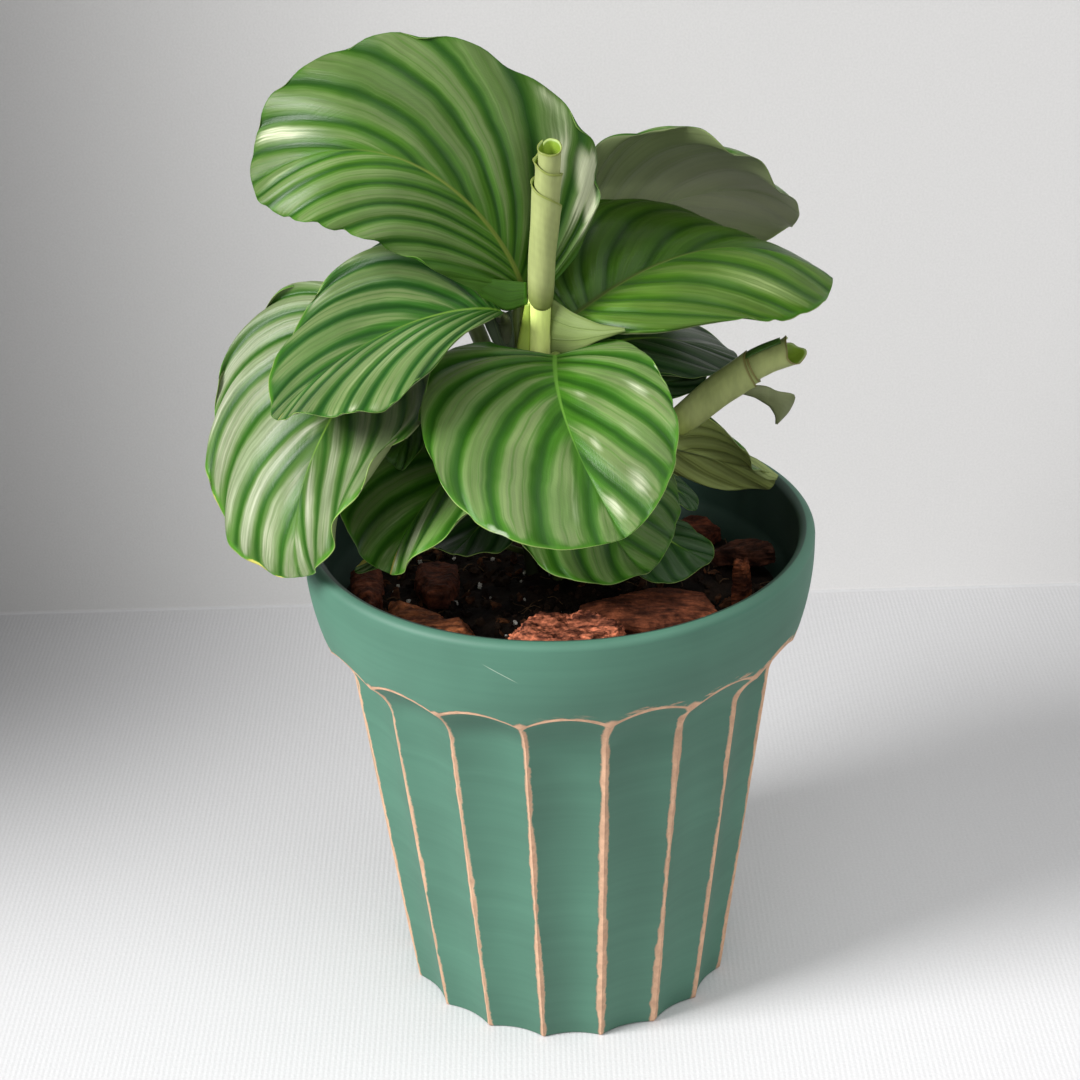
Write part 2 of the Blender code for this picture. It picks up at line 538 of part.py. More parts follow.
def make_roll(name, look, root, stalk, rings, bore):
    """rings: centre, radius and how much higher the left side stands, from the stalk to the mouth."""
    level = float(soil_height(*root))
    foot = [(*root, level - HOLE_DEPTH + STALK_SINK), (*root, level + 1)]
    places = np.array(foot + [ring[0] for ring in rings])
    radii = [stalk, stalk] + [ring[1] for ring in rings]
    slants = [0, 0] + [ring[2] for ring in rings]
    moved = [k for k in range(1, len(places)) if np.linalg.norm(places[k] - places[k - 1]) > 0.01]
    along = np.zeros_like(places)
    for k in range(len(places)):
        before = max([0] + [i - 1 for i in moved if i <= k])
        after = min([i for i in moved if i > k] + [len(places) - 1])
        along[k] = unit(places[after] - places[before])
    along[:2] = (0, 0, 1)
    mouth, axis = places[-1], along[-1]
    sections = list(zip(places, radii, slants, along))
    sections.append((mouth, radii[-1] - ROLL_WALL, slants[-1], axis))
    sections.append((mouth - axis * bore * 0.25, radii[-2] - ROLL_WALL, slants[-2], axis))
    sections.append((mouth - axis * bore, radii[-2] * 0.6, 0, axis))
    right = np.array([1.0, 0.0, 0.0])
    verts, loops = [], []
    for place, radius, slant, direction in sections:
        right = unit(right - (right @ direction) * direction)
        back = np.cross(direction, right)
        loops.append(list(range(len(verts), len(verts) + ROLL_SIDES)))
        for k in range(ROLL_SIDES):
            a = 2 * pi * k / ROLL_SIDES
            verts.append(place + radius * (right * cos(a) + back * sin(a)) - direction * slant * cos(a))
    faces = [tuple(loops[0]), tuple(loops[-1])]
    for low, high in zip(loops, loops[1:]):
        faces += band(low, high)
    return add_object(name, verts, faces, look, 50, (*root, level))


def join_torn_strip(roll, look, outline):
    """A torn strip of the outer layer that hangs from the leaning roll."""
    verts = []
    for back in (0, STRIP_THICKNESS):
        verts += [(x, y + STRIP_CURL * (outline[0][2] - z) + back, z) for x, y, z in outline]
    front = list(range(len(outline)))
    rear = [k + len(outline) for k in front]
    strip = add_object("torn_strip", verts, band(front, rear) + [tuple(front), tuple(rear)], look, 50)
    strip.hide_render = True
    strip.display_type = "WIRE"
    together = roll.modifiers.new("torn_strip", "BOOLEAN")
    together.operation = "UNION"
    together.object = strip


# Bark chips, each seated on the soil along its own underside

def make_bark(name, look, outline, thickness, seed, lift=0, levels=1):
    """lift is how much higher the right-hand end stands, on the pot's wall."""
    rng = np.random.default_rng(seed)
    outline = np.array(outline, float)
    centre = outline.mean(axis=0)
    low_x, high_x = outline[:, 0].min(), outline[:, 0].max()
    verts, rings = [], []

    def base(x, y):
        return float(soil_height(x, y)) + BARK_SEAT + lift * (x - low_x) / (high_x - low_x)

    def keep(spots, heights):
        rings.append(list(range(len(verts), len(verts) + len(outline))))
        verts.extend((x, y, base(x, y) + h) for (x, y), h in zip(spots, heights))

    keep(outline, [0] * len(outline))
    for level in range(1, levels + 1):
        shrink = 1 - 0.05 * level + rng.uniform(-0.03, 0.02, len(outline))
        heights = thickness * BARK_SHOULDER * level / levels * rng.uniform(0.9, 1.05, len(outline))
        keep(centre + (outline - centre) * shrink[:, None], heights)
    shrink = rng.uniform(0.6, 0.75, len(outline))
    keep(centre + (outline - centre) * shrink[:, None], thickness * rng.uniform(0.85, 1.1, len(outline)))
    faces = fan(rings[0], len(verts)) + fan(rings[-1], len(verts) + 1)
    verts.append((*centre, base(*centre)))
    verts.append((*centre, base(*centre) + thickness * rng.uniform(0.85, 1.05)))
    for low, high in zip(rings, rings[1:]):
        faces += band(low, high)
    return add_object(name, verts, faces, look, 25, (*centre, base(*centre)))


def main():
    remove_everything()
    make_pot()
    stalks = []
    for leaf in LEAVES:
        make_leaf(look=material(leaf["name"] + "_green", (0.10, 0.24, 0.07), 0.4), **leaf)
        stalks.append((leaf["root"], leaf.get("stalk", 2.2)))
    upright = material("upright_roll_green", (0.42, 0.50, 0.20), 0.5)
    leaning = material("leaning_roll_green", (0.30, 0.40, 0.16), 0.5)
    make_roll("rolled_leaf_upright", upright, **UPRIGHT_ROLL)
    roll = make_roll("rolled_leaf_leaning", leaning, **LEANING_ROLL)
    join_torn_strip(roll, leaning, TORN_STRIP)
    stalks += [(roll["root"], roll["stalk"]) for roll in (UPRIGHT_ROLL, LEANING_ROLL)]
    make_soil(stalks)
    for chip in BARK:
        make_bark(look=material(chip["name"] + "_brown", (0.20, 0.07, 0.035), 0.85), **chip)


main()
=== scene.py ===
"""Looks of the potted calathea orbifolia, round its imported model.

Lengths are in millimetres and angles in degrees, apart from the camera, the studio and the materials,
which are in metres. Shape.piece turns millimetres into metres. The pot's foot stands on the origin, and
the camera looks along +Y from above the front of the pot.
"""
from math import cos, pi, radians, sin

import bmesh
import bpy
import numpy as np
from mathutils import Matrix, Vector, noise


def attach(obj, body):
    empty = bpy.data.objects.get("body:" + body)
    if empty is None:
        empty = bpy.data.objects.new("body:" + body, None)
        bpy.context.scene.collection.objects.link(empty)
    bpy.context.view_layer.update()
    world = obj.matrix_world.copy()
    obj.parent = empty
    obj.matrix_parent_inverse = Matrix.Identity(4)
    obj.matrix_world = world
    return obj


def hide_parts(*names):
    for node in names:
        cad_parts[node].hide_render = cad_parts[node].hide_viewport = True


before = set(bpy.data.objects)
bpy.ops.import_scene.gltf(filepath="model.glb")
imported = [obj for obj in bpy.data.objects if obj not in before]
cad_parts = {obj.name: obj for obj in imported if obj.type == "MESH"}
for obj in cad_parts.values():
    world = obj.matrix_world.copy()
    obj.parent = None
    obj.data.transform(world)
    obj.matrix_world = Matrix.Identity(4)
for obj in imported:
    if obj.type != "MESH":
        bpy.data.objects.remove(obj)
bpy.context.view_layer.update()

METRES = 0.001

# Camera, on the photograph's 1080 x 1080 frame
CAMERA_PLACE = (-0.006, -0.843, 0.616)
CAMERA_PITCH = 26.7
CAMERA_YAW = -0.1
CAMERA_ROLL = 1.63
PHOTO_SIZE = 1080
LENS = 80
SENSOR = 36

# Studio
WALL_DISTANCE = 0.31
CORNER_ROUND = 0.0015
FLOOR_COLOUR = (0.645, 0.640, 0.645)
WALL_COLOUR = (0.61, 0.600, 0.592)
THREAD = 0.0022
FLOOR_REACH = 2.6
STAGE_SIDE = 3.0
WORLD_COLOUR = (0.92, 0.96, 1.0, 1.0)
WORLD_LIGHT = 0.22

# Pot
POT_HEIGHT = 200
POT_RADIUS = 100
COLLAR_FOOT_RADIUS = 95
COLLAR_FOOT_Z = 162
COLLAR_BULGE_Z = 194
ARCH_RISE = 5
COVE_HEIGHT = 20
FLUTE_TOP_RADIUS = 85
FOOT_RADIUS = 67.2
FLUTES = 18
FLUTE_DEPTH = 2.3
STEPS_PER_FLUTE = 22
FLUTE_CROWD = 0.72
LIP_ROUND = 1.3
MOUTH_RADIUS = 93.8
SHOULDER_RADIUS = 91.5
SHOULDER_Z = 172
LIP_FOOT_Z = 196
NECK_RADIUS = 80
NECK_Z = 158
FLOOR_RADIUS = 57.5
FLOOR_THICKNESS = 10

# Soil
SOIL_LEVEL = 167
SOIL_SLOPE = 0.045
MOUND_HEIGHT = 4
MOUND_SPREAD = 45
HOLE_DEPTH = 11.4
SOIL_GAP = 0.4

# Leaf blades and stalks
BASE_ANGLE = 20
EDGE_SHAPE = 0.97
LOBE_TURN = 0.75
LOBE_WIDTH = 0.6
TIP_WIDTH = 0.45
FLAT_BASE = 14
WAVE_POWER = 2.2
WAVE_OFFSET = 0.37
CAD_THICKNESS = 0.9
LEAF_THICKNESS = 0.55
KEEL_SHARE = 0.9
STALK_DROP = 0.55
STALK_SIDES = 14
STALK_RINGS = 26
RING_HALF = 3
LEFT_HALF = 40


# Meshes

def unit(v):
    return v / np.maximum(np.linalg.norm(v, axis=-1, keepdims=True), 1e-9)


def heading(azimuth, elevation):
    a, e = radians(azimuth), radians(elevation)
    return np.array([cos(a) * cos(e), sin(a) * cos(e), sin(e)])


def lengths_along(points):
    """Distance from the first point to each point of a path."""
    steps = np.linalg.norm(np.diff(np.array(points, float), axis=0), axis=1)
    return np.concatenate([[0], np.cumsum(steps)])


class Shape:
    """Vertices and faces of one piece, with a material, two pattern coordinates and marks for each."""

    def __init__(self):
        self.verts = []
        self.faces = []
        self.looks = []
        self.pattern = []
        self.marks = {}

    def add(self, points, **marks):
        """Adds points, in an array of any shape, and returns their numbers in that shape."""
        points = np.asarray(points, float)
        flat = points.reshape(-1, 3)
        start = len(self.verts)
        self.verts.extend(flat)
        for name, values in marks.items():
            kept = self.marks.setdefault(name, {})
            flat_values = np.broadcast_to(values, points.shape[:-1]).reshape(-1)
            kept.update(zip(range(start, start + len(flat)), flat_values))
        return np.arange(start, start + len(flat)).reshape(points.shape[:-1])

    def face(self, corners, look=0, pattern=None):
        self.faces.append([int(c) for c in corners])
        self.looks.append(look)
        self.pattern.extend(pattern if pattern is not None else [(0.0, 0.0)] * len(corners))

    def sheet(self, grid, look=0, pattern=None, closed=False):
        """Four-sided faces on a grid of numbers. closed joins the last column to the first."""
        if closed:
            grid = np.concatenate([grid, grid[:, :1]], axis=1)
        for i in range(grid.shape[0] - 1):
            for j in range(grid.shape[1] - 1):
                spots = ((i, j), (i + 1, j), (i + 1, j + 1), (i, j + 1))
                shown = None if pattern is None else [pattern[spot] for spot in spots]
                self.face([grid[spot] for spot in spots], look, shown)

    def fan(self, ring, centre, look=0):
        for k in range(len(ring)):
            self.face((ring[k], ring[(k + 1) % len(ring)], centre), look)

    def rims(self, front, rear, look=0):
        """Closes the gap between two grids along their four edges."""
        for edge in ((slice(None), 0), (slice(None), -1), (0, slice(None)), (-1, slice(None))):
            self.sheet(np.stack([front[edge], rear[edge]], 1), look)

    def piece(self, name, materials, slot, nodes=(), sharp=None):
        mesh = bpy.data.meshes.new(name)
        mesh.from_pydata([tuple(v) for v in np.array(self.verts) * METRES], [], self.faces)
        mesh.polygons.foreach_set("material_index", self.looks)
        layer = mesh.uv_layers.new(name="veins")
        layer.data.foreach_set("uv", np.array(self.pattern, np.float32).reshape(-1))
        for mark, kept in self.marks.items():
            values = np.zeros(len(self.verts), np.float32)
            values[list(kept)] = list(kept.values())
            mesh.attributes.new(mark, "FLOAT", "POINT").data.foreach_set("value", values)
        return add_mesh(name, mesh, materials, nodes, sharp)


def add_mesh(name, mesh, materials, nodes=(), sharp=None):
    """Turns a finished mesh in metres into a piece that rides on the body and stands for nodes."""
    body = bmesh.new()
    body.from_mesh(mesh)
    bmesh.ops.recalc_face_normals(body, faces=body.faces)
    body.to_mesh(mesh)
    body.free()
    mesh.shade_smooth()
    if sharp is not None:
        mesh.set_sharp_from_angle(angle=radians(sharp))
    for material in materials:
        mesh.materials.append(material)
    made = bpy.data.objects.new(name, mesh)
    bpy.context.scene.collection.objects.link(made)
    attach(made, "root")
    if nodes:
        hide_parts(*nodes)
    return made


# Materials

class Value:
    """A number or colour inside a material. Sums, products and steps of it add the nodes they need."""

    def __init__(self, graph, socket):
        self.graph, self.socket = graph, socket

    def math(self, operation, *others):
        return self.graph.math(operation, self, *others)

    def __add__(self, other):
        return self.math("ADD", other)

    def __sub__(self, other):
        return self.math("SUBTRACT", other)

    def __rsub__(self, other):
        return self.graph.math("SUBTRACT", other, self)

    def __mul__(self, other):
        return self.math("MULTIPLY", other)

    def __truediv__(self, other):
        return self.math("DIVIDE", other)

    def __abs__(self):
        return self.math("ABSOLUTE")

    def most(self, other):
        return self.math("MAXIMUM", other)

    def swing(self, length):
        """Goes up and down between 0 and length as the value grows."""
        return self.math("PINGPONG", length)

    def rise(self, low, high, start=0.0, end=1.0):
        """A smooth step from start to end as the value goes from low to high."""
        limits = {"From Min": low, "From Max": high, "To Min": start, "To Max": end}
        made = self.graph.node("MapRange", {"Value": self, **limits}, interpolation_type="SMOOTHSTEP")
        return Value(self.graph, made.outputs["Result"])

    def fall(self, low, high):
        return self.rise(low, high, 1.0, 0.0)


class Graph:
    """A material's nodes, with short calls for the kinds used here."""

    def __init__(self, name, roughness=0.5, specular=0.5):
        self.material = bpy.data.materials.new(name)
        self.material.use_nodes = True
        self.tree = self.material.node_tree
        self.shader = self.tree.nodes["Principled BSDF"]
        self.shader.inputs["Roughness"].default_value = roughness
        self.shader.inputs["Specular IOR Level"].default_value = specular

    def feed(self, socket, value):
        if isinstance(value, Value):
            value = value.socket
        if isinstance(value, bpy.types.NodeSocket):
            self.tree.links.new(value, socket)
        elif socket.type == "RGBA" and len(value) == 3:
            socket.default_value = (*value, 1.0)
        else:
            socket.default_value = value

    def node(self, kind, inputs=None, **settings):
        made = self.tree.nodes.new("ShaderNode" + kind)
        for key, value in settings.items():
            setattr(made, key, value)
        for key, value in (inputs or {}).items():
            self.feed(made.inputs[key], value)
        return made

    def math(self, operation, *values):
        return Value(self, self.node("Math", dict(enumerate(values)), operation=operation).outputs[0])

    def mix(self, share, first, second):
        made = self.node("Mix", data_type="RGBA")
        for index, value in ((0, share), (6, first), (7, second)):
            self.feed(made.inputs[index], value)
        return Value(self, made.outputs[2])

    def vector_math(self, operation, inputs):
        return Value(self, self.node("VectorMath", inputs, operation=operation).outputs["Vector"])

    def tint(self, colour, share):
        """colour made lighter or darker by share, where 1 leaves it as it is."""
        return self.vector_math("SCALE", {0: colour, "Scale": share})

    def place(self, stretch=(1, 1, 1)):
        """The piece's own coordinates, in metres, stretched."""
        return self.vector_math("MULTIPLY", {0: self.node("TexCoord").outputs["Object"], 1: stretch})

    def noise(self, vector, scale=1.0, detail=2.0, roughness=0.5):
        made = self.node("TexNoise", {"Vector": vector, "Scale": scale, "Detail": detail,
                                      "Roughness": roughness})
        return Value(self, made.outputs["Fac"])

    def speckle(self, scale, detail=2.0, roughness=0.5):
        return self.noise(self.place(), scale, detail, roughness)

    def ramp(self, value, stops):
        """Goes through the given levels, in straight lines between their places."""
        made = self.node("ValToRGB", {"Fac": value})
        points = made.color_ramp.elements
        while len(points) < len(stops):
            points.new(0.5)
        for point, (place, level) in zip(points, stops):
            point.position = place
            point.color = (level, level, level, 1.0)
        return Value(self, made.outputs["Color"])

    def mark(self, name):
        return Value(self, self.node("Attribute", attribute_name=name).outputs["Fac"])

    def vector(self, x, y):
        return self.node("CombineXYZ", {"X": x, "Y": y}).outputs["Vector"]

    def split(self, vector):
        return [Value(self, part) for part in self.node("SeparateXYZ", {"Vector": vector}).outputs]

    def veins(self):
        """The two pattern coordinates: vein number, and distance along the vein."""
        return self.split(self.node("UVMap", uv_map="veins").outputs["UV"])[:2]

    def bump(self, height, distance, strength=1.0):
        made = self.node("Bump", {"Height": height, "Distance": distance, "Strength": strength})
        self.feed(self.shader.inputs["Normal"], made.outputs["Normal"])

    def finish(self, colour, roughness=None):
        self.feed(self.shader.inputs["Base Color"], colour)
        if roughness is not None:
            self.feed(self.shader.inputs["Roughness"], roughness)
        return self.material


# Leaves, by place round the pot. root is where the stalk stands in the soil, midrib has four points from
# the blade's base to its tip, face is the heading and the elevation that the upper side looks to, and
# half is the width from the midrib to each margin. Pairs have a value for each half of the blade. In
# spots, worn, shine and plain, each entry has its half (1 or -1), its place along the margin and along
# the vein, its two lengths and its strength.
# Painted shade: leaves low and far back in the clump get these darkened copies of the upper colours, for
# the shade the other leaves cast on them.
LEAF_IN_PAINTED_SHADE = dict(pale=(0.05, 0.085, 0.042), bright=(0.085, 0.125, 0.07), dark=(0.01, 0.04, 0.008),
                 green=(0.022, 0.07, 0.012), margin=(0.03, 0.09, 0.012))
# The highlight spots of a leaf, and the whitish colours that go with them in its looks, are painted
# highlights where the glossy blade catches the light.
LEAVES = [
    dict(name="leaf_top_left", root=(8, 28), lean=(-4, -25), stalk=2.6, reach=30,
         midrib=((-11, -8, 294.5), (-21, -9, 322.5), (-55, -10, 352.5), (-109, 1, 340.5)), face=(-84, 37),
         half=(33, 53), lobe=(-0.07, -0.08), widest=(0.54, 0.31), fold=(3, 10), fold_tip=(11, 2),
         droop=(19, 7), twist=8, wave=(2, 4.5, 0.3), veins=(7, 8), seed=1, rib=1.1, scallop=0.065,
         look=dict(shade=(0.86, 0.75), bands=(0.8, 0.75), rib=(0.16, 0.22, 0.035),
         shine=(0.74, 0.78, 0.52), green=(0.06, 0.165, 0.013)), plain=((1, 0.13, 0.3, 0.16, 0.7, 1.0),
         (-1, 0.05, 0.2, 0.08, 0.4, 0.8)), shine=((-1, 0.87, 0.7, 0.035, 0.22, 0.9),
         (-1, 0.9, 0.45, 0.03, 0.15, 0.7), (1, 0.92, 0.45, 0.04, 0.25, 0.6),
         (-1, 0.46, 0.8, 0.05, 0.1, 0.7), (-1, 0.5, 0.5, 0.02, 0.2, 0.6),
         (-1, 0.31, 0.6, 0.09, 0.24, 1.5), (-1, 0.17, 0.64, 0.08, 0.2, 1.4),
         (-1, 0.41, 0.43, 0.03, 0.16, 0.8))),
    dict(name="leaf_left", root=(-11, 11), lean=(-9, -20.5), stalk=2.3, reach=6, rise=1.0,
         midrib=((-19, -16.3, 294.7), (-41, -27.3, 298.7), (-72, -34.3, 288.7), (-101, -48.3, 267.7)),
         face=(-100, 91), half=(47, 46), lobe=(-0.12, 0.08), widest=(0.58, 0.47), base=(1.25, 0.8),
         fold=(19, 14), fold_tip=(6, 4), droop=(41, -20), twist=25, wave=(1.5, 4, 0.0),
         # Painted shade: the stalk's colours are near black, for the shade it stands in under the blades.
         stalk_colours=((0.025, 0.035, 0.012), (0.045, 0.055, 0.022)), veins=(7, 7), seed=2, scallop=0.03,
         spots=((1, 0.99, 0.5, 0.015, 0.5, 0.55),), look=dict(shade=(0.95, 0.8), bands=(0.95, 0.85),
         dark=(0.012, 0.06, 0.008), green=(0.03, 0.115, 0.012)), shine=((1, 0.56, 0.85, 0.09, 0.09, 0.8),
         (-1, 0.57, 0.95, 0.05, 0.12, 0.9), (-1, 0.45, 0.92, 0.08, 0.1, 0.6),
         (1, 0.6, 0.35, 0.15, 0.3, 0.35))),
    dict(name="leaf_left_low", root=(0, 27), lean=(-33, -19.5), stalk=3.2, reach=30, rise=1.12, crest=22,
         midrib=((-59, 5, 283), (-79, -13, 262), (-95, -35, 235.5), (-97, -51, 205)), face=(-130, 35),
         half=(50, 59), lobe=(0.05, 0.03), widest=(0.55, 0.47), base=(1.0, 0.72), fold=(-6, 26),
         fold_tip=(19, -2), droop=(-25, 27), twist=7, wave=(2, 5, 0.1), veins=(7, 8), seed=3,
         # Painted sheen: the pale and bright colours are greyed, and the shade above 1 lightens the leaf,
         # for the light it catches.
         scallop=0.03, look=dict(shade=(1.05, 1.05), bands=(1.0, 1.0), pale=(0.182, 0.218, 0.115),
         bright=(0.225, 0.262, 0.148), green=(0.07, 0.15, 0.028), shine=(0.44, 0.46, 0.34)),
         spots=((-1, 0.62, 1.0, 0.02, 0.02, 0.5), (-1, 0.84, 1.0, 0.04, 0.04, 0.7),
         (-1, 0.93, 1.0, 0.02, 0.04, 0.7)), shine=((-1, 0.5, 0.75, 0.12, 0.22, 0.9),
         (-1, 0.8, 0.6, 0.12, 0.45, 0.75), (1, 0.92, 0.3, 0.06, 0.45, 0.8),
         (-1, 0.81, 0.09, 0.05, 0.08, 0.9), (1, 0.75, 0.5, 0.12, 0.4, 0.5))),
    dict(name="leaf_front_left", root=(-1, 11), lean=(-15, -27), stalk=2.2, reach=15,
         midrib=((-20, -20, 245), (-38, -35, 240), (-54, -49, 226), (-63, -58, 209)), face=(-126, 62),
         half=(29, 43), widest=(0.48, 0.51), fold=(11, 8), fold_tip=(26, 9), droop=(8, 21), twist=17,
         wave=(1.5, 4, 0.3), veins=(5, 6), seed=4, spots=((1, 0.98, 0.5, 0.03, 0.6, 0.8),),
         look=dict(shade=(1.0, 0.9), bands=(0.75, 0.65)), shine=((-1, 0.91, 0.4, 0.05, 0.3, 0.8),
         (1, 0.84, 0.5, 0.07, 0.35, 0.8), (1, 0.93, 0.5, 0.04, 0.3, 0.9))),
    dict(name="leaf_front", root=(12, 12), lean=(-9, -28), stalk=2.4, reach=10, rise=0.85,
         midrib=((0, -24, 280), (2, -54, 271), (10, -77, 257), (22, -96, 240)), face=(-92, 61),
         half=(39, 52), lobe=(0.1, 0.12), widest=(0.46, 0.47), fold=(16, 15), fold_tip=(19, 18),
         droop=(21, 23), twist=1, wave=(0.8, 4, 0.1), veins=(5, 6), seed=5, mesh=(120, 26), scallop=0.02,
         rib=0.7, look=dict(shade=(0.98, 0.95), bands=(0.95, 0.9), rib=(0.1, 0.24, 0.03)),
         worn=((-1, 0.67, 0.985, 0.045, 0.05, 0.9), (1, 0.31, 0.86, 0.02, 0.08, 0.8)),
         shine=((-1, 0.895, 0.1, 0.02, 0.25, 0.7), (1, 0.935, 0.3, 0.022, 0.28, 1.0),
         (1, 0.835, 0.68, 0.035, 0.14, 1.0), (-1, 0.885, 0.5, 0.02, 0.2, 0.8),
         (1, 0.55, 0.56, 0.03, 0.1, 0.9), (1, 0.48, 0.74, 0.03, 0.07, 0.9),
         (1, 0.82, 0.26, 0.02, 0.06, 0.8), (1, 0.69, 0.17, 0.02, 0.05, 0.7),
         (1, 0.72, 0.55, 0.04, 0.12, 0.4))),
    dict(name="leaf_front_low", root=(18.5, 11.5), lean=(-10.5, -29.5), stalk=2, reach=15,
         midrib=((12, -20, 237), (15, -40, 228), (22, -53, 216), (32, -63, 209)), face=(-74, 63),
         half=(32, 36), lobe=(0.11, 0.1), widest=(0.47, 0.48), fold=(12, 7), fold_tip=(7, 19),
         droop=(27, 24), twist=-20, wave=(1, 4, 0.1), veins=(5, 5), seed=6, look=dict(shade=(0.62, 0.62),
         bands=(0.6, 0.6))),
    dict(name="leaf_right_low", root=(28, 13), lean=(-2, -10), stalk=1.4, reach=8, midrib=((32, 0, 199),
         (40, -9, 197), (49, -14, 193), (58, -19, 190)), face=(-59, 69), half=(14, 23),
         wave=(0.6, 3, 0.1), veins=(4, 4), seed=7, mesh=(70, 16), look=LEAF_IN_PAINTED_SHADE),
    dict(name="leaf_back_right", root=(4, 36), lean=(-8, -15), stalk=2.4, reach=20,
         midrib=((11, 56, 294.5), (42.7, 78, 302.5), (74.7, 82, 306.5), (99.7, 71, 299.5)), face=(79, 32),
         half=(46, 51), lobe=(0.1, 0.09), fold=(4, 10), fold_tip=(5, -10), droop=(17, 20), twist=18,
         wave=(2.2, 4, 0.1), veins=(6, 6), seed=8, rib=0.6, scallop=0.03,
         look=dict(margin=(0.11, 0.14, 0.06), edge=(0.14, 0.18, 0.08)),
         look_under=dict(dull=(0.17, 0.215, 0.09), pale=(0.19, 0.235, 0.1), vein=(0.15, 0.19, 0.08),
         shine=(0.33, 0.33, 0.23)), shine=((-1, 0.9, 0.45, 0.22, 0.5, 0.8),
         (1, 0.9, 0.5, 0.18, 0.6, 0.8))),
    dict(name="leaf_right", root=(14, 19.5), lean=(-4, -23.5), stalk=3, reach=10, rise=0.85,
         midrib=((6, -6, 287), (36, 5, 302), (70, 12, 307), (107, 19, 291)), face=(-92, 67),
         half=(54, 38), lobe=(0.1, 0.03), widest=(0.48, 0.54), fold=(27, 18), fold_tip=(-30, 6),
         droop=(41, 30), twist=5, wave=(1.5, 3, 0.6), veins=(7, 6), seed=9, scallop=0.03,
         look=dict(bright=(0.165, 0.265, 0.052), pale=(0.12, 0.195, 0.036), green=(0.06, 0.165, 0.008),
         dark=(0.028, 0.095, 0.006), shade=(0.48, 0.78), bands=(0.25, 0.7), rib=(0.1, 0.16, 0.025),
         shine=(0.34, 0.44, 0.17)), shine=((-1, 0.72, 0.63, 0.1, 0.25, 0.8),
         (-1, 0.14, 1.0, 0.12, 0.12, 0.6))),
    dict(name="leaf_right_rear", root=(16, 29), lean=(-2, -13), stalk=2.2, reach=20,
         midrib=((13, 22, 262), (34, 30, 264), (54, 44, 256), (74, 51, 246)), face=(-82, 70),
         half=(34, 22), fold=(8, 10), fold_tip=(1, 7), droop=(25, 29), twist=-8, wave=(1.5, 3, 0.1),
         veins=(5, 5), seed=10, look=dict(LEAF_IN_PAINTED_SHADE, bands=(0.8, 0.8))),
    dict(name="leaf_over_rim", root=(30, 21), lean=(-1, -6), stalk=1.8, reach=8, midrib=((34, 24, 223.5),
         (53, 27.5, 216.5), (72, 28.5, 209.5), (87, 22.5, 205.5)), face=(65, 23), half=(18, 29),
         fold=(1, 6), fold_tip=(-8, -22), droop=(4, 18), twist=15, wave=(1.2, 3, 0.1), veins=(4, 5),
         seed=11, mesh=(80, 18), look=dict(margin=(0.16, 0.2, 0.06), edge=(0.2, 0.25, 0.08)),
         # Painted light: these under colours are raised far above the other undersides', for a face that
         # lies in shade.
         look_under=dict(dull=(0.38, 0.46, 0.135), pale=(0.47, 0.56, 0.2), vein=(0.22, 0.26, 0.07))),
    dict(name="leaf_left_small", root=(-6.5, 24), lean=(-24.5, -7), stalk=1.4, reach=30, rise=0.9,
         midrib=((-49, -14, 259), (-54, -19, 251), (-58, -28, 246), (-61, -29, 239)), face=(-113, 40),
         half=(8, 14), fold=(5, 5), fold_tip=(5, 3), droop=(10, 11), twist=4, wave=(0.5, 3, 0.1),
         veins=(3, 3), seed=12, mesh=(60, 14), look=dict(bands=(0.2, 0.2), shade=(0.6, 0.6)),
         stalk_colours=((0.1, 0.14, 0.03), (0.12, 0.16, 0.03))),
    dict(name="leaf_left_ground", root=(5, 10), lean=(-15, -35), stalk=1.6, reach=10,
         midrib=((-16, -22, 229), (-24, -35, 224), (-32, -42, 217), (-40, -53, 214)), face=(-108, 71),
         half=(16, 24), fold_tip=(9, 3), droop=(23, 27), twist=7, wave=(1, 3, 0.1), veins=(4, 4), seed=13,
         mesh=(80, 18), look=LEAF_IN_PAINTED_SHADE, spots=((-1, 0.75, 1.0, 0.12, 0.14, 0.9),)),
    dict(name="leaf_left_scrap", root=(-8, 30), lean=(-14, -20), stalk=1.2, reach=22, crest=10,
         midrib=((-51, -28, 205), (-60, -34, 207), (-68, -40, 206), (-77, -44, 203)), face=(-110, 61),
         half=(4, 5), fold_tip=(5, 4), droop=(15, 15), wave=(0.4, 3, 0.1), veins=(2, 2), seed=14,
         mesh=(50, 10), look=dict(shade=(0.6, 0.6)), spots=((-1, 0.8, 0.8, 0.1, 0.3, 0.8),)),
    dict(name="leaf_rear_low", root=(23, 28), lean=(-3, -18), stalk=1.6, reach=12, midrib=((17, 14, 251),
         (33, 20, 250), (46, 26, 247), (60, 30, 249)), face=(-80, 61), half=(14, 9), droop=(15, 14),
         wave=(0.8, 3, 0.1), veins=(3, 3), seed=15, mesh=(60, 14), look=LEAF_IN_PAINTED_SHADE),
    dict(name="leaf_right_small", root=(24, 9), lean=(-2, -10), stalk=1.2, reach=8, midrib=((32, -6, 222),
         (40, -8, 220), (48, -10, 215), (53, -12, 209)), face=(-59, 61), half=(6, 6), droop=(15, 14),
         wave=(0.4, 3, 0.1), veins=(3, 3), seed=16, mesh=(50, 12), look=LEAF_IN_PAINTED_SHADE),
]
UPPER_LOOK = dict(dark=(0.018, 0.078, 0.005), green=(0.047, 0.155, 0.010), pale=(0.162, 0.222, 0.082),
                  bright=(0.210, 0.280, 0.108), margin=(0.06, 0.20, 0.012), edge=(0.26, 0.38, 0.10),
                  rib=(0.13, 0.25, 0.03), yellow=(0.50, 0.46, 0.10), brown=(0.30, 0.12, 0.03),
                  white=(0.46, 0.52, 0.38), shine=(0.52, 0.56, 0.38), gloss_and_painted_highlight=0.33, bound=0.36,
                  shade=(1.0, 1.0), bands=(0.9, 0.9))
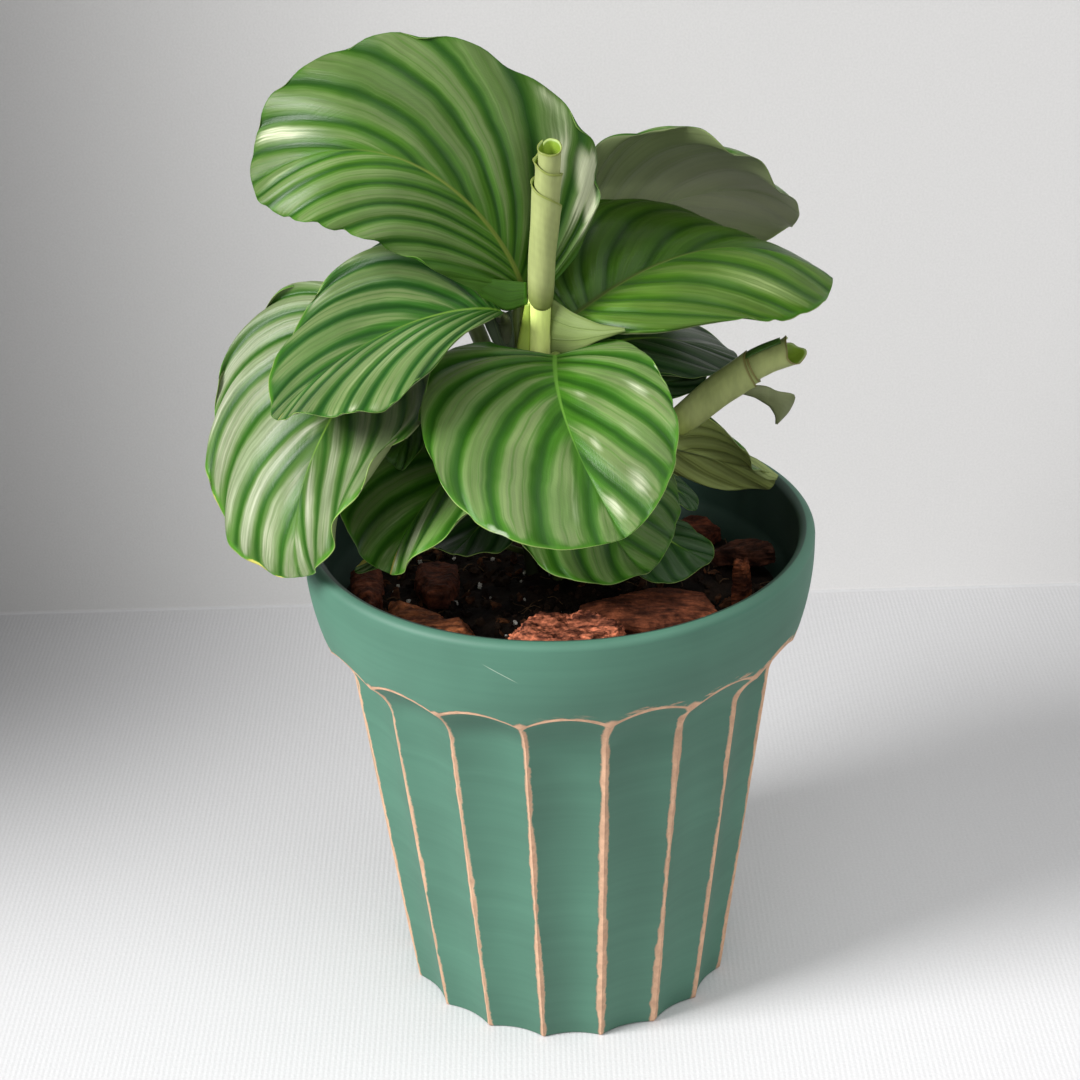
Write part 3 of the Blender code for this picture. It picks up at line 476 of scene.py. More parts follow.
UNDER_LOOK = dict(dull=(0.20, 0.25, 0.105), pale=(0.26, 0.30, 0.145), vein=(0.11, 0.15, 0.05),
                  edge=(0.20, 0.27, 0.09), rib=(0.20, 0.26, 0.10), yellow=(0.38, 0.36, 0.12),
                  shine=(0.25, 0.32, 0.12))
LEAF_DEFAULTS = dict(stalk=2.2, lobe=(0.1, 0.1), widest=(0.5, 0.5), tip=0.12, base=(0.72, 0.72),
                     fold=(8, 8), fold_tip=(8, 8), droop=(25, 25), twist=0, wave=(1, 3, 0.1), rise=0.45,
                     reach=30, crest=0, lean=(0, 0), veins=(6, 6), seed=1, scallop=0.02, quilt=1.0, rib=0.9,
                     spots=(), worn=(), shine=(), plain=(), mesh=(110, 24), look={}, look_under={},
                     stalk_colours=((0.09, 0.12, 0.03), (0.13, 0.18, 0.04)))


# Leaf surfaces. Rows of the mesh follow the leaf's own side veins.

def through(points, t):
    """A cubic curve through four points at 0, 1/3, 2/3 and 1."""
    p = np.array(points, float)
    t = np.asarray(t, float)[:, None]
    a, b, c, d = t, t - 1 / 3, t - 2 / 3, t - 1
    ends = a * b * c * p[3] - b * c * d * p[0]
    return 4.5 * ends + 13.5 * (a * c * d * p[1] - a * b * d * p[2])


class Midrib:
    """Places, directions and upward normals along a leaf's midrib, by share of its length."""

    def __init__(self, points, face, count=60):
        self.place = through(points, np.linspace(0, 1, count))
        run = lengths_along(self.place)
        self.length, self.share = run[-1], run / run[-1]
        self.along = unit(np.gradient(self.place, self.share, axis=0))
        self.up = np.zeros_like(self.place)
        middle = int(np.searchsorted(self.share, 0.5))
        up = heading(*face)
        self.up[middle] = unit(up - (up @ self.along[middle]) * self.along[middle])
        for step, stop in ((1, count), (-1, -1)):
            for i in range(middle + step, stop, step):
                before = self.up[i - step]
                self.up[i] = unit(before - (before @ self.along[i]) * self.along[i])

    def read(self, values, u):
        return np.stack([np.interp(u, self.share, values[:, k]) for k in range(3)], -1)

    def at(self, u):
        inside = np.clip(u, 0, 1)
        along = unit(self.read(self.along, inside))
        place = self.read(self.place, inside) + along * ((u - inside) * self.length)[..., None]
        return place, along, unit(self.read(self.up, inside))


def blade_outline(turn, lobe, widest, tip, base):
    """Half of the outline, from the stalk at turn 0 to the tip at pi: shares along and across."""
    along = 0.5 * (1 - np.cos(turn)) + (widest - 0.5) * np.sin(turn) ** 2
    along = along - lobe * np.exp(-((turn - LOBE_TURN) / LOBE_WIDTH) ** 2)
    power = base + (EDGE_SHAPE - base) * turn / pi
    across = np.sin(np.clip(turn, 1e-6, pi - 1e-6)) ** power
    return along, across * (1 - tip * np.exp(-((pi - turn) / TIP_WIDTH) ** 2))


def vein_start(t):
    """Share of the midrib's length at which a side vein leaves it. Most leave it near the base."""
    return 0.06 * t + 0.94 * t ** 4.5


def vein_number(leaf, k, t):
    """Counts side veins along the margin: whole numbers are the dark stripes."""
    count = leaf["veins"][k]
    steps = np.arange(count + 2) / (count + 1)
    rng = np.random.default_rng(leaf["seed"] * 2 + k)
    places = steps ** 0.66
    places[1:-1] += rng.uniform(-0.16, 0.16, count) * np.diff(places)[1:]
    return np.interp(t, places, np.arange(count + 2))


def blade_point(leaf, side, t, s):
    """Place on the upper face and the blade's direction upwards there. t runs along the margin from the
    base to the tip, and s along a side vein from the midrib to the margin."""
    k = 0 if side > 0 else 1
    half, lobe = leaf["half"][k], leaf["lobe"][k]
    number = vein_number(leaf, k, t)
    turn = radians(BASE_ANGLE) + (pi - radians(BASE_ANGLE)) * t ** 0.92
    reach, out = blade_outline(turn, lobe, leaf["widest"][k], leaf["tip"], leaf["base"][k])
    notch = leaf["scallop"] * np.abs(np.cos(pi * number)) ** 5 * np.clip(t * 6, 0, 1)
    out = out * (1 - notch * s ** 8 * np.clip((1 - t) * 9, 0, 1))
    straight = np.maximum(t ** 2, np.clip(-FLAT_BASE * lobe, 0, 1))
    sweep = straight * np.sin(s * pi / 2) + (1 - straight) * (1 - np.cos(s * pi / 2))
    start = vein_start(t)
    u, v = start + (reach - start) * sweep, out * np.sin(s * pi / 2)

    place, along, up = leaf["line"].at(u)
    across = np.cross(up, along)
    twist = np.radians(leaf["twist"]) * (u - 0.5)
    c, d = np.cos(twist)[..., None], np.sin(twist)[..., None]
    up, across = up * c - across * d, across * c + up * d
    inside = np.clip(u, 0, 1)
    ease = inside ** 2 * (3 - 2 * inside)
    fold = np.radians(leaf["fold"][k] + (leaf["fold_tip"][k] - leaf["fold"][k]) * ease)
    curve = radians(leaf["droop"][k]) / half
    turned = fold - curve * v * half
    aside = (np.sin(fold) - np.sin(turned)) / curve
    rise = (np.cos(turned) - np.cos(fold)) / curve
    normal = up * np.cos(turned)[..., None] - side * across * np.sin(turned)[..., None]
    height, count, begin = leaf["wave"]
    phase = count * t + begin + (WAVE_OFFSET if side < 0 else 0)
    fade = np.clip((1 - t) * 6, 0, 1) * np.clip(t * 7, 0, 1)
    lift = height * s ** WAVE_POWER * np.sin(2 * pi * phase) * fade + quilting(leaf, number, t, s)
    place = place + side * across * aside[..., None] + up * rise[..., None] + normal * lift[..., None]
    return place, normal, number, v * half, u


def quilting(leaf, number, t, s):
    """Pale bands stand a little proud, and dark side veins lie in soft grooves."""
    arch = (0.5 - 0.5 * np.cos(2 * pi * number)) ** 0.7
    crease = np.exp(-((number % 1 - 0.5) / 0.05) ** 2)
    fade = np.clip(s / 0.15, 0, 1) * np.clip((1 - s) / 0.08, 0, 1) * np.clip((1 - t) / 0.08, 0, 1)
    return leaf["quilt"] * (arch - 0.5 - 0.25 * crease) * fade * np.clip(t / 0.06, 0, 1)


def spots_on(spots, side, t, s):
    """How withered or worn the blade is, from 0 to 1, round the given spots."""
    total = np.zeros(np.broadcast(t, s).shape)
    for spot_side, spot_t, spot_s, long, wide, strength in spots:
        if spot_side == side:
            total += strength * np.exp(-((t - spot_t) / long) ** 2 - ((s - spot_s) / wide) ** 2)
    return np.clip(total, 0, 1.5)


def build_leaf(leaf):
    """One leaf: its blade with both faces, its keel underneath and its stalk."""
    leaf = {**LEAF_DEFAULTS, **leaf}
    leaf["line"] = Midrib(leaf["midrib"], leaf["face"])
    line, stalk, shape = leaf["line"], leaf["stalk"], Shape()
    rows, columns = leaf["mesh"]
    t = np.linspace(0, 1, rows + 1)[:-1, None]
    x = np.linspace(0, 1, columns)
    outer = 0.6 * x + 0.2 * (1 - np.cos(pi * x))
    tip, _, tip_up = line.at(np.array([1.0]))
    tips = shape.add(np.stack([tip[0], tip[0] - tip_up[0] * 0.3]), rib=0,
                     wilt=spots_on(leaf["spots"], 1, 1.0, 0.0), bleach=0, shine=0, plain=0)
    middles = None
    collars = {}
    for side in (1, -1):
        k = 0 if side > 0 else 1
        edge = blade_outline(radians(BASE_ANGLE), leaf["lobe"][k], leaf["widest"][k], leaf["tip"],
                             leaf["base"][k])[1] * leaf["half"][k]
        first = 2 / pi * np.arcsin(min(0.5, stalk * KEEL_SHARE / edge))
        s = np.concatenate([first * np.array([0, 1, 2]) / 3, first + (1 - first) * outer])[None, :]
        place, normal, number, across, u = blade_point(leaf, side, t, np.broadcast_to(s, (rows, s.size)))
        width = stalk * 0.75 * (1 - 0.7 * np.clip(u, 0, 1))
        keel = stalk * KEEL_SHARE * np.clip(1 - u, 0, 1) ** 1.3 * np.exp(-(across / (width + 0.3)) ** 2)
        thick = LEAF_THICKNESS * (1 - 0.55 * s ** 10)
        under = place - normal * (thick + keel)[..., None]
        rib = np.exp(-(across / (leaf["rib"] * (1 - 0.6 * np.clip(u, 0, 1)))) ** 2)
        rib = rib * np.clip(1.3 - 1.25 * u, 0, 1)
        wilt, bleach, shine, plain = (spots_on(leaf[name], side, t, s)
                                      for name in ("spots", "worn", "shine", "plain"))
        plain = np.clip(plain + 0.7 * np.exp(-t / 0.06), 0, 1)
        marks = dict(rib=rib, wilt=wilt, bleach=bleach, shine=shine, plain=plain)
        skip = 0 if middles is None else 1
        marks = {name: values[:, skip:] for name, values in marks.items()}
        grids = [shape.add(face[:, skip:], **marks) for face in (place, under)]
        if middles is None:
            middles = [grid[:, :1] for grid in grids]
        else:
            grids = [np.hstack(pair) for pair in zip(middles, grids)]
        top_grid, under_grid = grids
        numbers = np.broadcast_to(number, top_grid.shape) + (LEFT_HALF if side < 0 else 0)
        pattern = np.stack([numbers, np.broadcast_to(s, top_grid.shape)], -1)
        shape.sheet(top_grid, 0, pattern)
        shape.sheet(under_grid, 1, pattern)
        margin = np.stack([top_grid[:, -1], under_grid[:, -1]], 1)
        shape.sheet(margin, 0, pattern[:, -1:].repeat(2, axis=1))
        base_edge = np.stack([top_grid[0, 3:], under_grid[0, 3:]], 1)
        shape.sheet(base_edge, 0, pattern[0, 3:, None].repeat(2, axis=1))
        ends = pattern[-1]
        for j in range(top_grid.shape[1] - 1):
            near = [ends[j], ends[j + 1], ends[j]]
            shape.face((top_grid[-1, j], top_grid[-1, j + 1], tips[0]), 0, near)
            shape.face((under_grid[-1, j], under_grid[-1, j + 1], tips[1]), 1, near)
        shape.face((top_grid[-1, -1], under_grid[-1, -1], tips[1], tips[0]), 0, [ends[-1]] * 4)
        collars[side] = (top_grid[0, :4], under_grid[0, :4])
    ring = [*collars[1][0][::-1], *collars[-1][0][1:], *collars[-1][1][::-1], *collars[1][1][1:]]
    add_stalk(shape, leaf, np.array(ring))
    looks = (leaf_upper(leaf), leaf_under(leaf), stalk_skin(leaf))
    shape.piece(leaf["name"] + "_blade", looks, "striped_leaf", (leaf["name"],))


def soil_height(x, y):
    return SOIL_LEVEL - SOIL_SLOPE * y + MOUND_HEIGHT * np.exp(-(x ** 2 + y ** 2) / MOUND_SPREAD ** 2)


def add_stalk(shape, leaf, collar):
    """Rings from the blade's base down to the root in the soil."""
    root, radius, line = leaf["root"], leaf["stalk"], leaf["line"]
    level = float(soil_height(*root))
    top = np.array([*root, level + 1])
    foot = np.array([*root, level - HOLE_DEPTH])
    joint = line.place[0] - line.up[0] * (radius * STALK_DROP + CAD_THICKNESS)
    before = joint - line.along[0] * leaf["reach"] + np.array([0, 0, leaf["crest"]])
    above = top + np.array([*leaf["lean"], leaf["rise"] * (joint[2] - top[2])])
    first = min(0.06, 4 / np.linalg.norm(joint - top))
    t = (1 - first) * np.linspace(1, 0, STALK_RINGS)[:, None]
    ends = joint * t ** 3 + top * (1 - t) ** 3
    path = np.vstack([ends + 3 * t * (1 - t) * (before * t + above * (1 - t)), foot])
    along = unit(np.gradient(path, axis=0))
    along[0] = -line.along[0]
    along[-2:] = (0, 0, -1)
    up = line.up[0]
    step = 2 * pi / STALK_SIDES
    angles = pi / 2 - RING_HALF * step + step * np.arange(STALK_SIDES)
    down = lengths_along(path)
    rings = [collar]
    for place, direction, distance in zip(path, along, down):
        up = unit(up - (up @ direction) * direction)
        across = np.cross(up, -direction)
        swell = 1 + 0.10 * np.exp(-((distance - 9) / 6) ** 2) + 0.12 * distance / down[-1]
        offset = np.cos(angles)[:, None] * across + np.sin(angles)[:, None] * up
        rings.append(shape.add(place + radius * swell * offset, down=distance / down[-1]))
    shape.sheet(np.array(rings), 2, closed=True)
    bottom = shape.add(path[-1:])
    shape.fan(rings[-1], bottom[0], 2)


def leaf_pattern(g):
    """Vein number, distance along the vein, nearness to a pale band's middle, and fine lines."""
    number, s = g.veins()
    number = number + (g.speckle(55) - 0.5) * 0.22
    near = number.swing(0.5) * 2.0
    lines = g.noise(g.vector(number * 11.0, s * 1.6), 1.0, 3.0, 0.6)
    return number, s, near, lines


def leaf_upper(leaf):
    """Dark stripes along the side veins, and between them pale bands with fine dark lines. Round the
    highlight spots the pale bands are whitened as painted highlights, and each half's shade scales its
    colour as painted shade and light.
    """
    look = {**UPPER_LOOK, **leaf["look"]}
    g = Graph(leaf["name"] + "_upper", specular=0.16)
    number, s, near, lines = leaf_pattern(g)
    halves = (LEFT_HALF - 5, LEFT_HALF - 4)
    plain, shine = g.mark("plain"), g.mark("shine")
    middle = look["bound"]
    bound = g.ramp(s, ((0.0, 1.0), (0.05, 0.90), (0.16, 0.66), (0.35, middle + 0.08), (0.7, middle),
                       (0.84, middle + 0.08), (0.92, 0.66), (0.97, 1.0)))
    gap = near + (lines - 0.5) * 0.34 - bound
    along = g.noise(g.vector(number * 0.8, s * 2.2))
    share = along.rise(0.3, 0.7, 0.62, 1.0) * number.rise(*halves, *look["bands"])
    pale = gap.rise(-0.26, 0.32) * share * plain.rise(0.0, 1.0, 1.0, 0.12)
    rim = gap.rise(0.0, 0.14) * gap.rise(0.14, 0.42, 0.5, 0.0)
    fine = (number * 4.0 + lines * 0.5).swing(0.5).fall(0.0, 0.16) * along.rise(0.35, 0.6, 0.15, 0.55)

    dark = g.mix(near.fall(0.0, 0.45) * plain.rise(0.0, 1.0, 1.0, 0.35), look["green"], look["dark"])
    light = g.mix(rim, look["pale"], look["bright"])
    light = g.mix(fine, light, look["green"])
    # Painted highlights: round the highlight spots the pale bands are mixed towards a whitish colour.
    cover = gap.rise(-0.10, 0.35).most(shine.rise(0.8, 1.4))
    gloss_and_painted_highlight = (shine + (lines - 0.5) * 0.9).rise(0.15, 1.0) * cover
    light = g.mix(gloss_and_painted_highlight * 0.75, light, look["shine"])
    colour = g.mix(pale.most(gloss_and_painted_highlight), dark, light)
    colour = g.tint(colour, lines.rise(0.25, 0.75, 0.84, 1.14))
    colour = g.tint(colour, g.speckle(30, 3).rise(0.3, 0.7, 0.82, 1.14))
    colour = g.mix(s.rise(0.93, 0.985, 0.0, 0.8), colour, look["margin"])
    colour = g.mix(s.rise(0.986, 0.996), colour, look["edge"])
    colour = g.mix(g.mark("rib").rise(0.25, 0.75), colour, look["rib"])
    colour = g.tint(colour, number.rise(*halves, *look["shade"]))
    speckle = (g.speckle(300, 3) - 0.5) * 0.5
    wilt = g.mark("wilt") + speckle
    colour = g.mix(wilt.rise(0.22, 0.42), colour, look["yellow"])
    colour = g.mix(wilt.rise(0.62, 0.80), colour, look["brown"])
    bleach = g.mark("bleach") + speckle * 2.0
    colour = g.mix(bleach.rise(0.35, 0.8, 0.0, 0.65), colour, look["white"])
    cross = g.noise(g.vector(number * 2.0, s * 90.0), 1.0, 2.0, 0.6)
    g.bump(lines * 0.7 + cross * 0.35, 0.00025, 0.7)
    return g.finish(colour, lines.rise(0.2, 0.8, look["gloss_and_painted_highlight"] - 0.06, look["gloss_and_painted_highlight"] + 0.08))


def leaf_under(leaf):
    look = {**UNDER_LOOK, **leaf["look_under"]}
    g = Graph(leaf["name"] + "_under", specular=0.2)
    _, s, near, lines = leaf_pattern(g)
    vein = near.fall(0.02, 0.14)
    colour = g.mix(near.rise(0.35, 0.6) * 0.45, look["dull"], look["pale"])
    colour = g.mix(vein * 0.45, colour, look["vein"])
    colour = g.tint(colour, lines.rise(0.25, 0.75, 0.90, 1.10))
    colour = g.tint(colour, g.speckle(25, 3).rise(0.3, 0.7, 0.85, 1.12))
    # Painted highlight: the underside is lightened round the highlight spots.
    colour = g.mix(g.mark("shine") * 0.7, colour, look["shine"])
    colour = g.mix(s.rise(0.97, 0.99), colour, look["edge"])
    colour = g.mix(g.mark("rib").rise(0.30, 0.75), colour, look["rib"])
    wilt = g.mark("wilt") + (g.speckle(300, 3) - 0.5) * 0.5
    colour = g.mix(wilt.rise(0.25, 0.5), colour, look["yellow"])
    g.bump(lines * 0.5 + vein, 0.00020, 0.8)
    return g.finish(colour, lines.rise(0.2, 0.8, 0.50, 0.64))


def stalk_skin(leaf):
    low, high = leaf["stalk_colours"]
    g = Graph(leaf["name"] + "_stalk", 0.42)
    streaks = g.noise(g.place((400, 400, 25)), 1.0, 3, 0.6)
    g.bump(streaks, 0.0002, 0.6)
    return g.finish(g.tint(g.mix(g.mark("down"), high, low), streaks.rise(0.25, 0.75, 0.78, 1.2)))


# Rolled leaves: a sheet wound round itself, whose upper edge climbs towards the middle. An edge entry
# has the angle round the roll and the height along its axis. A scrap entry has its two edges, the way
# its middle is moved, its thickness, its skin and its steps: the flange of the next leaf's sheath, the
# torn strip under the leaning roll, and the dark fold of the outer layer along its top.

ROLL_PITCH = 0.75
ROLL_WALL = 0.42
LOW_POINT = 60
ROLL_STEPS = 60
ROLL_RINGS = 64
ROLL_TURN_STEP = 7.5
ROLLS = (
    dict(name="rolled_leaf_upright", root=(5.5, 19.5), stalk=3.6, low=2.0, slant=1.5, lip=0.9,
         stalk_places=((1, 6, 195), (-2.9, -6.5, 235), (-5.8, -11.7, 272), (-5.4, -12, 294),
         (-4.4, -12, 306)), stalk_radii=(3.7, 3.9, 4.4, 4.4, 4.1), axis=((-5.3, -12, 294),
         (-3.7, -12, 316.6), (-1.6, -12, 337), (-0.6, -12, 347.5), (-0.2, -12, 356)),
         radii=(5.2, 5.4, 5.9, 5.95, 6.0), edge=((-235, 63.3), (-180, 61.8), (-135, 60.5), (-90, 59.9),
         (-45, 60.5), (0, 61.8), (45, 63.1), (90, 63.6), (112, 62.6), (130, 60.2), (150, 57.8),
         (180, 56.6), (270, 53.6), (360, 52), (450, 50.5), (540, 48.2), (630, 44.6), (720, 40), (750, 33),
         (790, 8)), skins=("upright_roll", "new_leaf_inside", "upright_roll_stem_painted_light", "upright_roll_flange"),
         scraps=((((-10.6, -13.5, 295.9), (-11.8, -14, 290.2), (-13.4, -14, 283.1), (-14.4, -14, 275.9)),
         ((-8.6, -14.6, 297.0), (-8.8, -15.0, 290.6), (-9.0, -15.2, 283.4), (-9.4, -15, 275.4)),
         (-0.2, -0.5, 0), 0.5, 3, 5),)),
    dict(name="rolled_leaf_leaning", root=(23, 19), stalk=3.4, low=2.0, slant=0.0, lip=0.0,
         stalk_places=((24, 14, 190), (29, 8.5, 212), (37, 6, 229), (44, 6, 236.0), (51, 6, 241.6)),
         stalk_radii=(3.7, 4.2, 4.7, 4.9, 4.6), axis=((44, 6, 235.6), (55, 6, 245), (63.3, 6, 251.8),
         (75.5, 6, 260.5), (82.3, 6, 263.8), (89, 6, 266.5), (91.7, 6, 268)),
         radii=(6.0, 6.5, 6.8, 7.1, 7.1, 7.4, 7.8), edge=((-240, 57), (-180, 57.6), (-120, 55.5),
         (-90, 54.3), (-60, 55.0), (-20, 57.0), (0, 57.4), (25, 60.5), (45, 61.0), (65, 58.5), (90, 57.5),
         (110, 53), (130, 46), (150, 42), (185, 40.8), (280, 40.5), (360, 40), (450, 41), (540, 41.0),
         (640, 38.6), (720, 37.0), (760, 33), (800, 5)),
         skins=("leaning_roll", "new_leaf_inside", "leaning_roll_stem", "torn_strip", "dark_fold"),
         scraps=((((69, 3.5, 252), (74, 3.125, 254.5), (81.5, 3.245, 253.7), (84.6, 3.62, 251.2),
         (92.3, 3.83, 249.8), (91.7, 4.325, 246.5), (89.6, 5.045, 241.7), (85.2, 5.825, 236.5)),
         ((69, 3.5, 252), (72.1, 3.725, 250.5), (76.6, 3.95, 249), (82.4, 4.595, 244.7),
         (84.8, 5.24, 240.4), (84.8, 5.24, 240.4), (85.2, 5.825, 236.5), (85.2, 5.825, 236.5)),
         (0.0, -1.2, 0.6), 0.45, 3, 8), (((70, 3.6, 262.4), (74, 2.8, 266.5), (79, 3.0, 268.6),
         (86, 4.0, 271.0)), ((70, 6.8, 262.8), (74, 7.2, 267.0), (79, 7.4, 269.3), (86, 7.6, 271.8)),
         (0, 0, 0.8), 0.45, 4, 6))),
)
ROLL_SKINS = {
    "new_leaf_inside": ((0.20, 0.31, 0.028), (0.22, 0.34, 0.03), (0.34, 0.44, 0.15)),
    # Painted shade: the upright roll's second colour, which it takes towards its foot, is darker for the
    # shade of the leaves round it.
    "upright_roll": ((0.345, 0.385, 0.150), (0.17, 0.21, 0.05), (0.22, 0.26, 0.06)),
    # Painted light: the upright roll's stem is coloured far paler and brighter than a stalk's own green,
    # for the light on it.
    "upright_roll_stem_painted_light": ((0.72, 0.84, 0.25), (0.60, 0.72, 0.16), (0.3, 0.4, 0.05)),
    "upright_roll_flange": ((0.28, 0.38, 0.05), (0.26, 0.36, 0.05), (0.3, 0.4, 0.05)),
    "leaning_roll": ((0.37, 0.42, 0.155), (0.36, 0.44, 0.10), (0.21, 0.19, 0.06)),
    "leaning_roll_stem": ((0.20, 0.27, 0.06), (0.14, 0.20, 0.04), (0.1, 0.1, 0.02)),
    "torn_strip": ((0.18, 0.205, 0.095), (0.18, 0.205, 0.095), (0.1, 0.1, 0.02)),
    "dark_fold": ((0.05, 0.12, 0.02), (0.05, 0.12, 0.02), (0.1, 0.1, 0.02)),
}


def smooth_path(points, count):
    """count places along a smooth curve through the points."""
    points = np.array(points, float)
    share = lengths_along(points)
    wanted = np.linspace(0, 1, count)
    path = np.stack([np.interp(wanted, share / share[-1], points[:, k]) for k in range(3)], -1)
    for _ in range(max(1, count // (2 * len(points)))):
        path[1:-1] = path[1:-1] * 0.5 + (path[:-2] + path[2:]) * 0.25
    return path


def path_frames(path):
    """Directions along a path, to its right and to its back."""
    along = unit(np.gradient(path, axis=0))
    right = np.array((1.0, 0.0, 0.0))
    rights = []
    for direction in along:
        right = unit(right - (right @ direction) * direction)
        rights.append(right)
    rights = np.array(rights)
    return along, rights, np.cross(along, rights)


def add_tube(shape, path, radii, sides, look, **marks):
    """A closed round tube along a path."""
    _, rights, backs = path_frames(path)
    radii = np.broadcast_to(radii, len(path))
    angles = np.linspace(0, 2 * pi, sides, endpoint=False)[None, :, None]
    ring = rights[:, None] * np.cos(angles) + backs[:, None] * np.sin(angles)
    marks = {name: np.broadcast_to(np.asarray(values).reshape(-1, 1), (len(path), sides))
             for name, values in marks.items()}
    grid = shape.add(path[:, None] + ring * radii[:, None, None], **marks)
    shape.sheet(grid, look, closed=True)
    ends = shape.add(path[[0, -1]])
    shape.fan(grid[0], ends[0], look)
    shape.fan(grid[-1], ends[1], look)


def add_wound_sheet(shape, roll):
    """The wound sheet of a roll: its outer face, its inner face and the edges between them."""
    path = smooth_path(roll["axis"], ROLL_STEPS)
    along, rights, backs = path_frames(path)
    run, stops = lengths_along(path), lengths_along(roll["axis"])
    angles = np.arange(roll["edge"][0][0], roll["edge"][-1][0] + 1, ROLL_TURN_STEP)
    tops = np.interp(angles, *np.array(roll["edge"], float).T)
    tops[1:-1] = tops[1:-1] * 0.5 + (tops[:-2] + tops[2:]) * 0.25
    tops = tops + 0.20 * np.sin(np.radians(angles) * 2.3)
    share = np.linspace(0, 1, ROLL_RINGS)[:, None] ** 0.9
    low = roll["low"] - roll["slant"] * np.cos(np.radians(angles + LOW_POINT))
    high = low * (1 - share) + tops * share
    radius = np.interp(high, stops, roll["radii"]) - ROLL_PITCH * (angles[-1] - angles) / 360
    lips = np.exp(-((angles - 180) / 22) ** 2) + 0.4 * np.exp(-((angles - 535) / 30) ** 2)
    flare = 0.35 * np.exp(-(tops - high) / 1.2) + roll["lip"] * lips * np.exp(-(tops - high) / 2.2)
    hug = 0.12 * np.exp(-(high - low) / 2.5)
    radius = radius * (1 - hug) + flare + 0.10 * np.sin(np.radians(angles) * 3 + high * 0.25)
    turned = np.radians(angles)[None, :, None]
    centre, right, back = (np.stack([np.interp(high, run, values[:, k]) for k in range(3)], -1)
                           for values in (path, rights, backs))
    centre = centre + along[-1] * np.clip(high - run[-1], 0, None)[..., None]
    out = right * np.cos(turned) + back * np.sin(turned)
    edge = np.maximum(np.exp(-(tops - high) / 0.9), np.exp(-(angles[-1] - angles) / 6.0))
    fade = np.broadcast_to(share, edge.shape)
    faces = [shape.add(centre + out * (radius - gap)[..., None], edge=edge, up=fade)
             for gap in (0, ROLL_WALL)]
    pattern = np.stack([np.broadcast_to(angles / 360, edge.shape), fade], -1)
    for look, face in enumerate(faces):
        shape.sheet(face, look, pattern)
    shape.rims(*faces)


def build_roll(roll, skins):
    """A rolled leaf: the wound sheet, the stalk under it and its own scraps."""
    shape = Shape()
    add_wound_sheet(shape, roll)
    level = float(soil_height(*roll["root"]))
    foot = [(*roll["root"], level - HOLE_DEPTH), (*roll["root"], level + 1)]
    places = foot + list(roll["stalk_places"])
    share = lengths_along(places)
    widths = np.interp(np.linspace(0, 1, ROLL_STEPS), share / share[-1],
                       [roll["stalk"], roll["stalk"], *roll["stalk_radii"]])
    add_tube(shape, smooth_path(places, ROLL_STEPS), widths, 20, 2, up=np.linspace(0, 1, ROLL_STEPS))
    for near, far, curl, thickness, look, steps in roll["scraps"]:
        add_scrap(shape, (near, far), curl, thickness, look, steps)
    shape.piece(roll["name"] + "_sheet", skins, "rolled_leaf", (roll["name"],))


def add_scrap(shape, outline, curl, thickness, look, steps, under=None):
    """A thin curved scrap of leaf between two edges. curl moves its middle."""
    near, far = (smooth_path(edge, SCRAP_ROWS) for edge in outline)
    rows = np.linspace(0, 1, SCRAP_ROWS)
    share = np.linspace(0, 1, steps + 1)[None, :, None]
    swell = np.sin(np.linspace(0.15, 1, SCRAP_ROWS) * pi * 0.8)[:, None, None]
    bend = np.sin(pi * share) * np.array(curl) * swell
    grid = near[:, None] * (1 - share) + far[:, None] * share + bend
    normal = unit(np.cross(np.gradient(grid, axis=0), np.gradient(grid, axis=1)))
    front = shape.add(grid, edge=0)
    rear = shape.add(grid - normal * thickness, edge=0)
    share = np.broadcast_to(share[..., 0], grid.shape[:2])
    pattern = np.stack([share * 3, np.broadcast_to(rows[:, None], share.shape)], -1)
    shape.sheet(front, look, pattern)
    shape.sheet(rear, look if under is None else under, pattern)
    shape.rims(front, rear, look)


def roll_skin(name):
    """Furled leaf, seen on its underside: faint veins along it and round it, and a marked edge. Towards
    its foot it turns to its second colour, which on the upright roll is painted shade.
    """
    base, low, edge_colour = ROLL_SKINS[name]
    g = Graph(name, 0.42, 0.2)
    lines = g.noise(g.place((300, 300, 60)), 1.0, 3, 0.6)
    turn, height = g.veins()
    bands = (turn * 3.0 + height * 26.0 + g.speckle(90) * 0.6).swing(1.0)
    colour = g.mix(g.mark("up").rise(0.0, 0.28), low, base)
    colour = g.tint(colour, bands.rise(0.1, 0.9, 1.0, 0.965))
    colour = g.tint(colour, lines.rise(0.25, 0.75, 0.88, 1.10))
    g.bump(lines, 0.0002, 0.6)
    return g.finish(g.mix(g.mark("edge").rise(0.25, 0.6), colour, edge_colour))


# Parts of leaves that stand on their own near the crown and on the rim

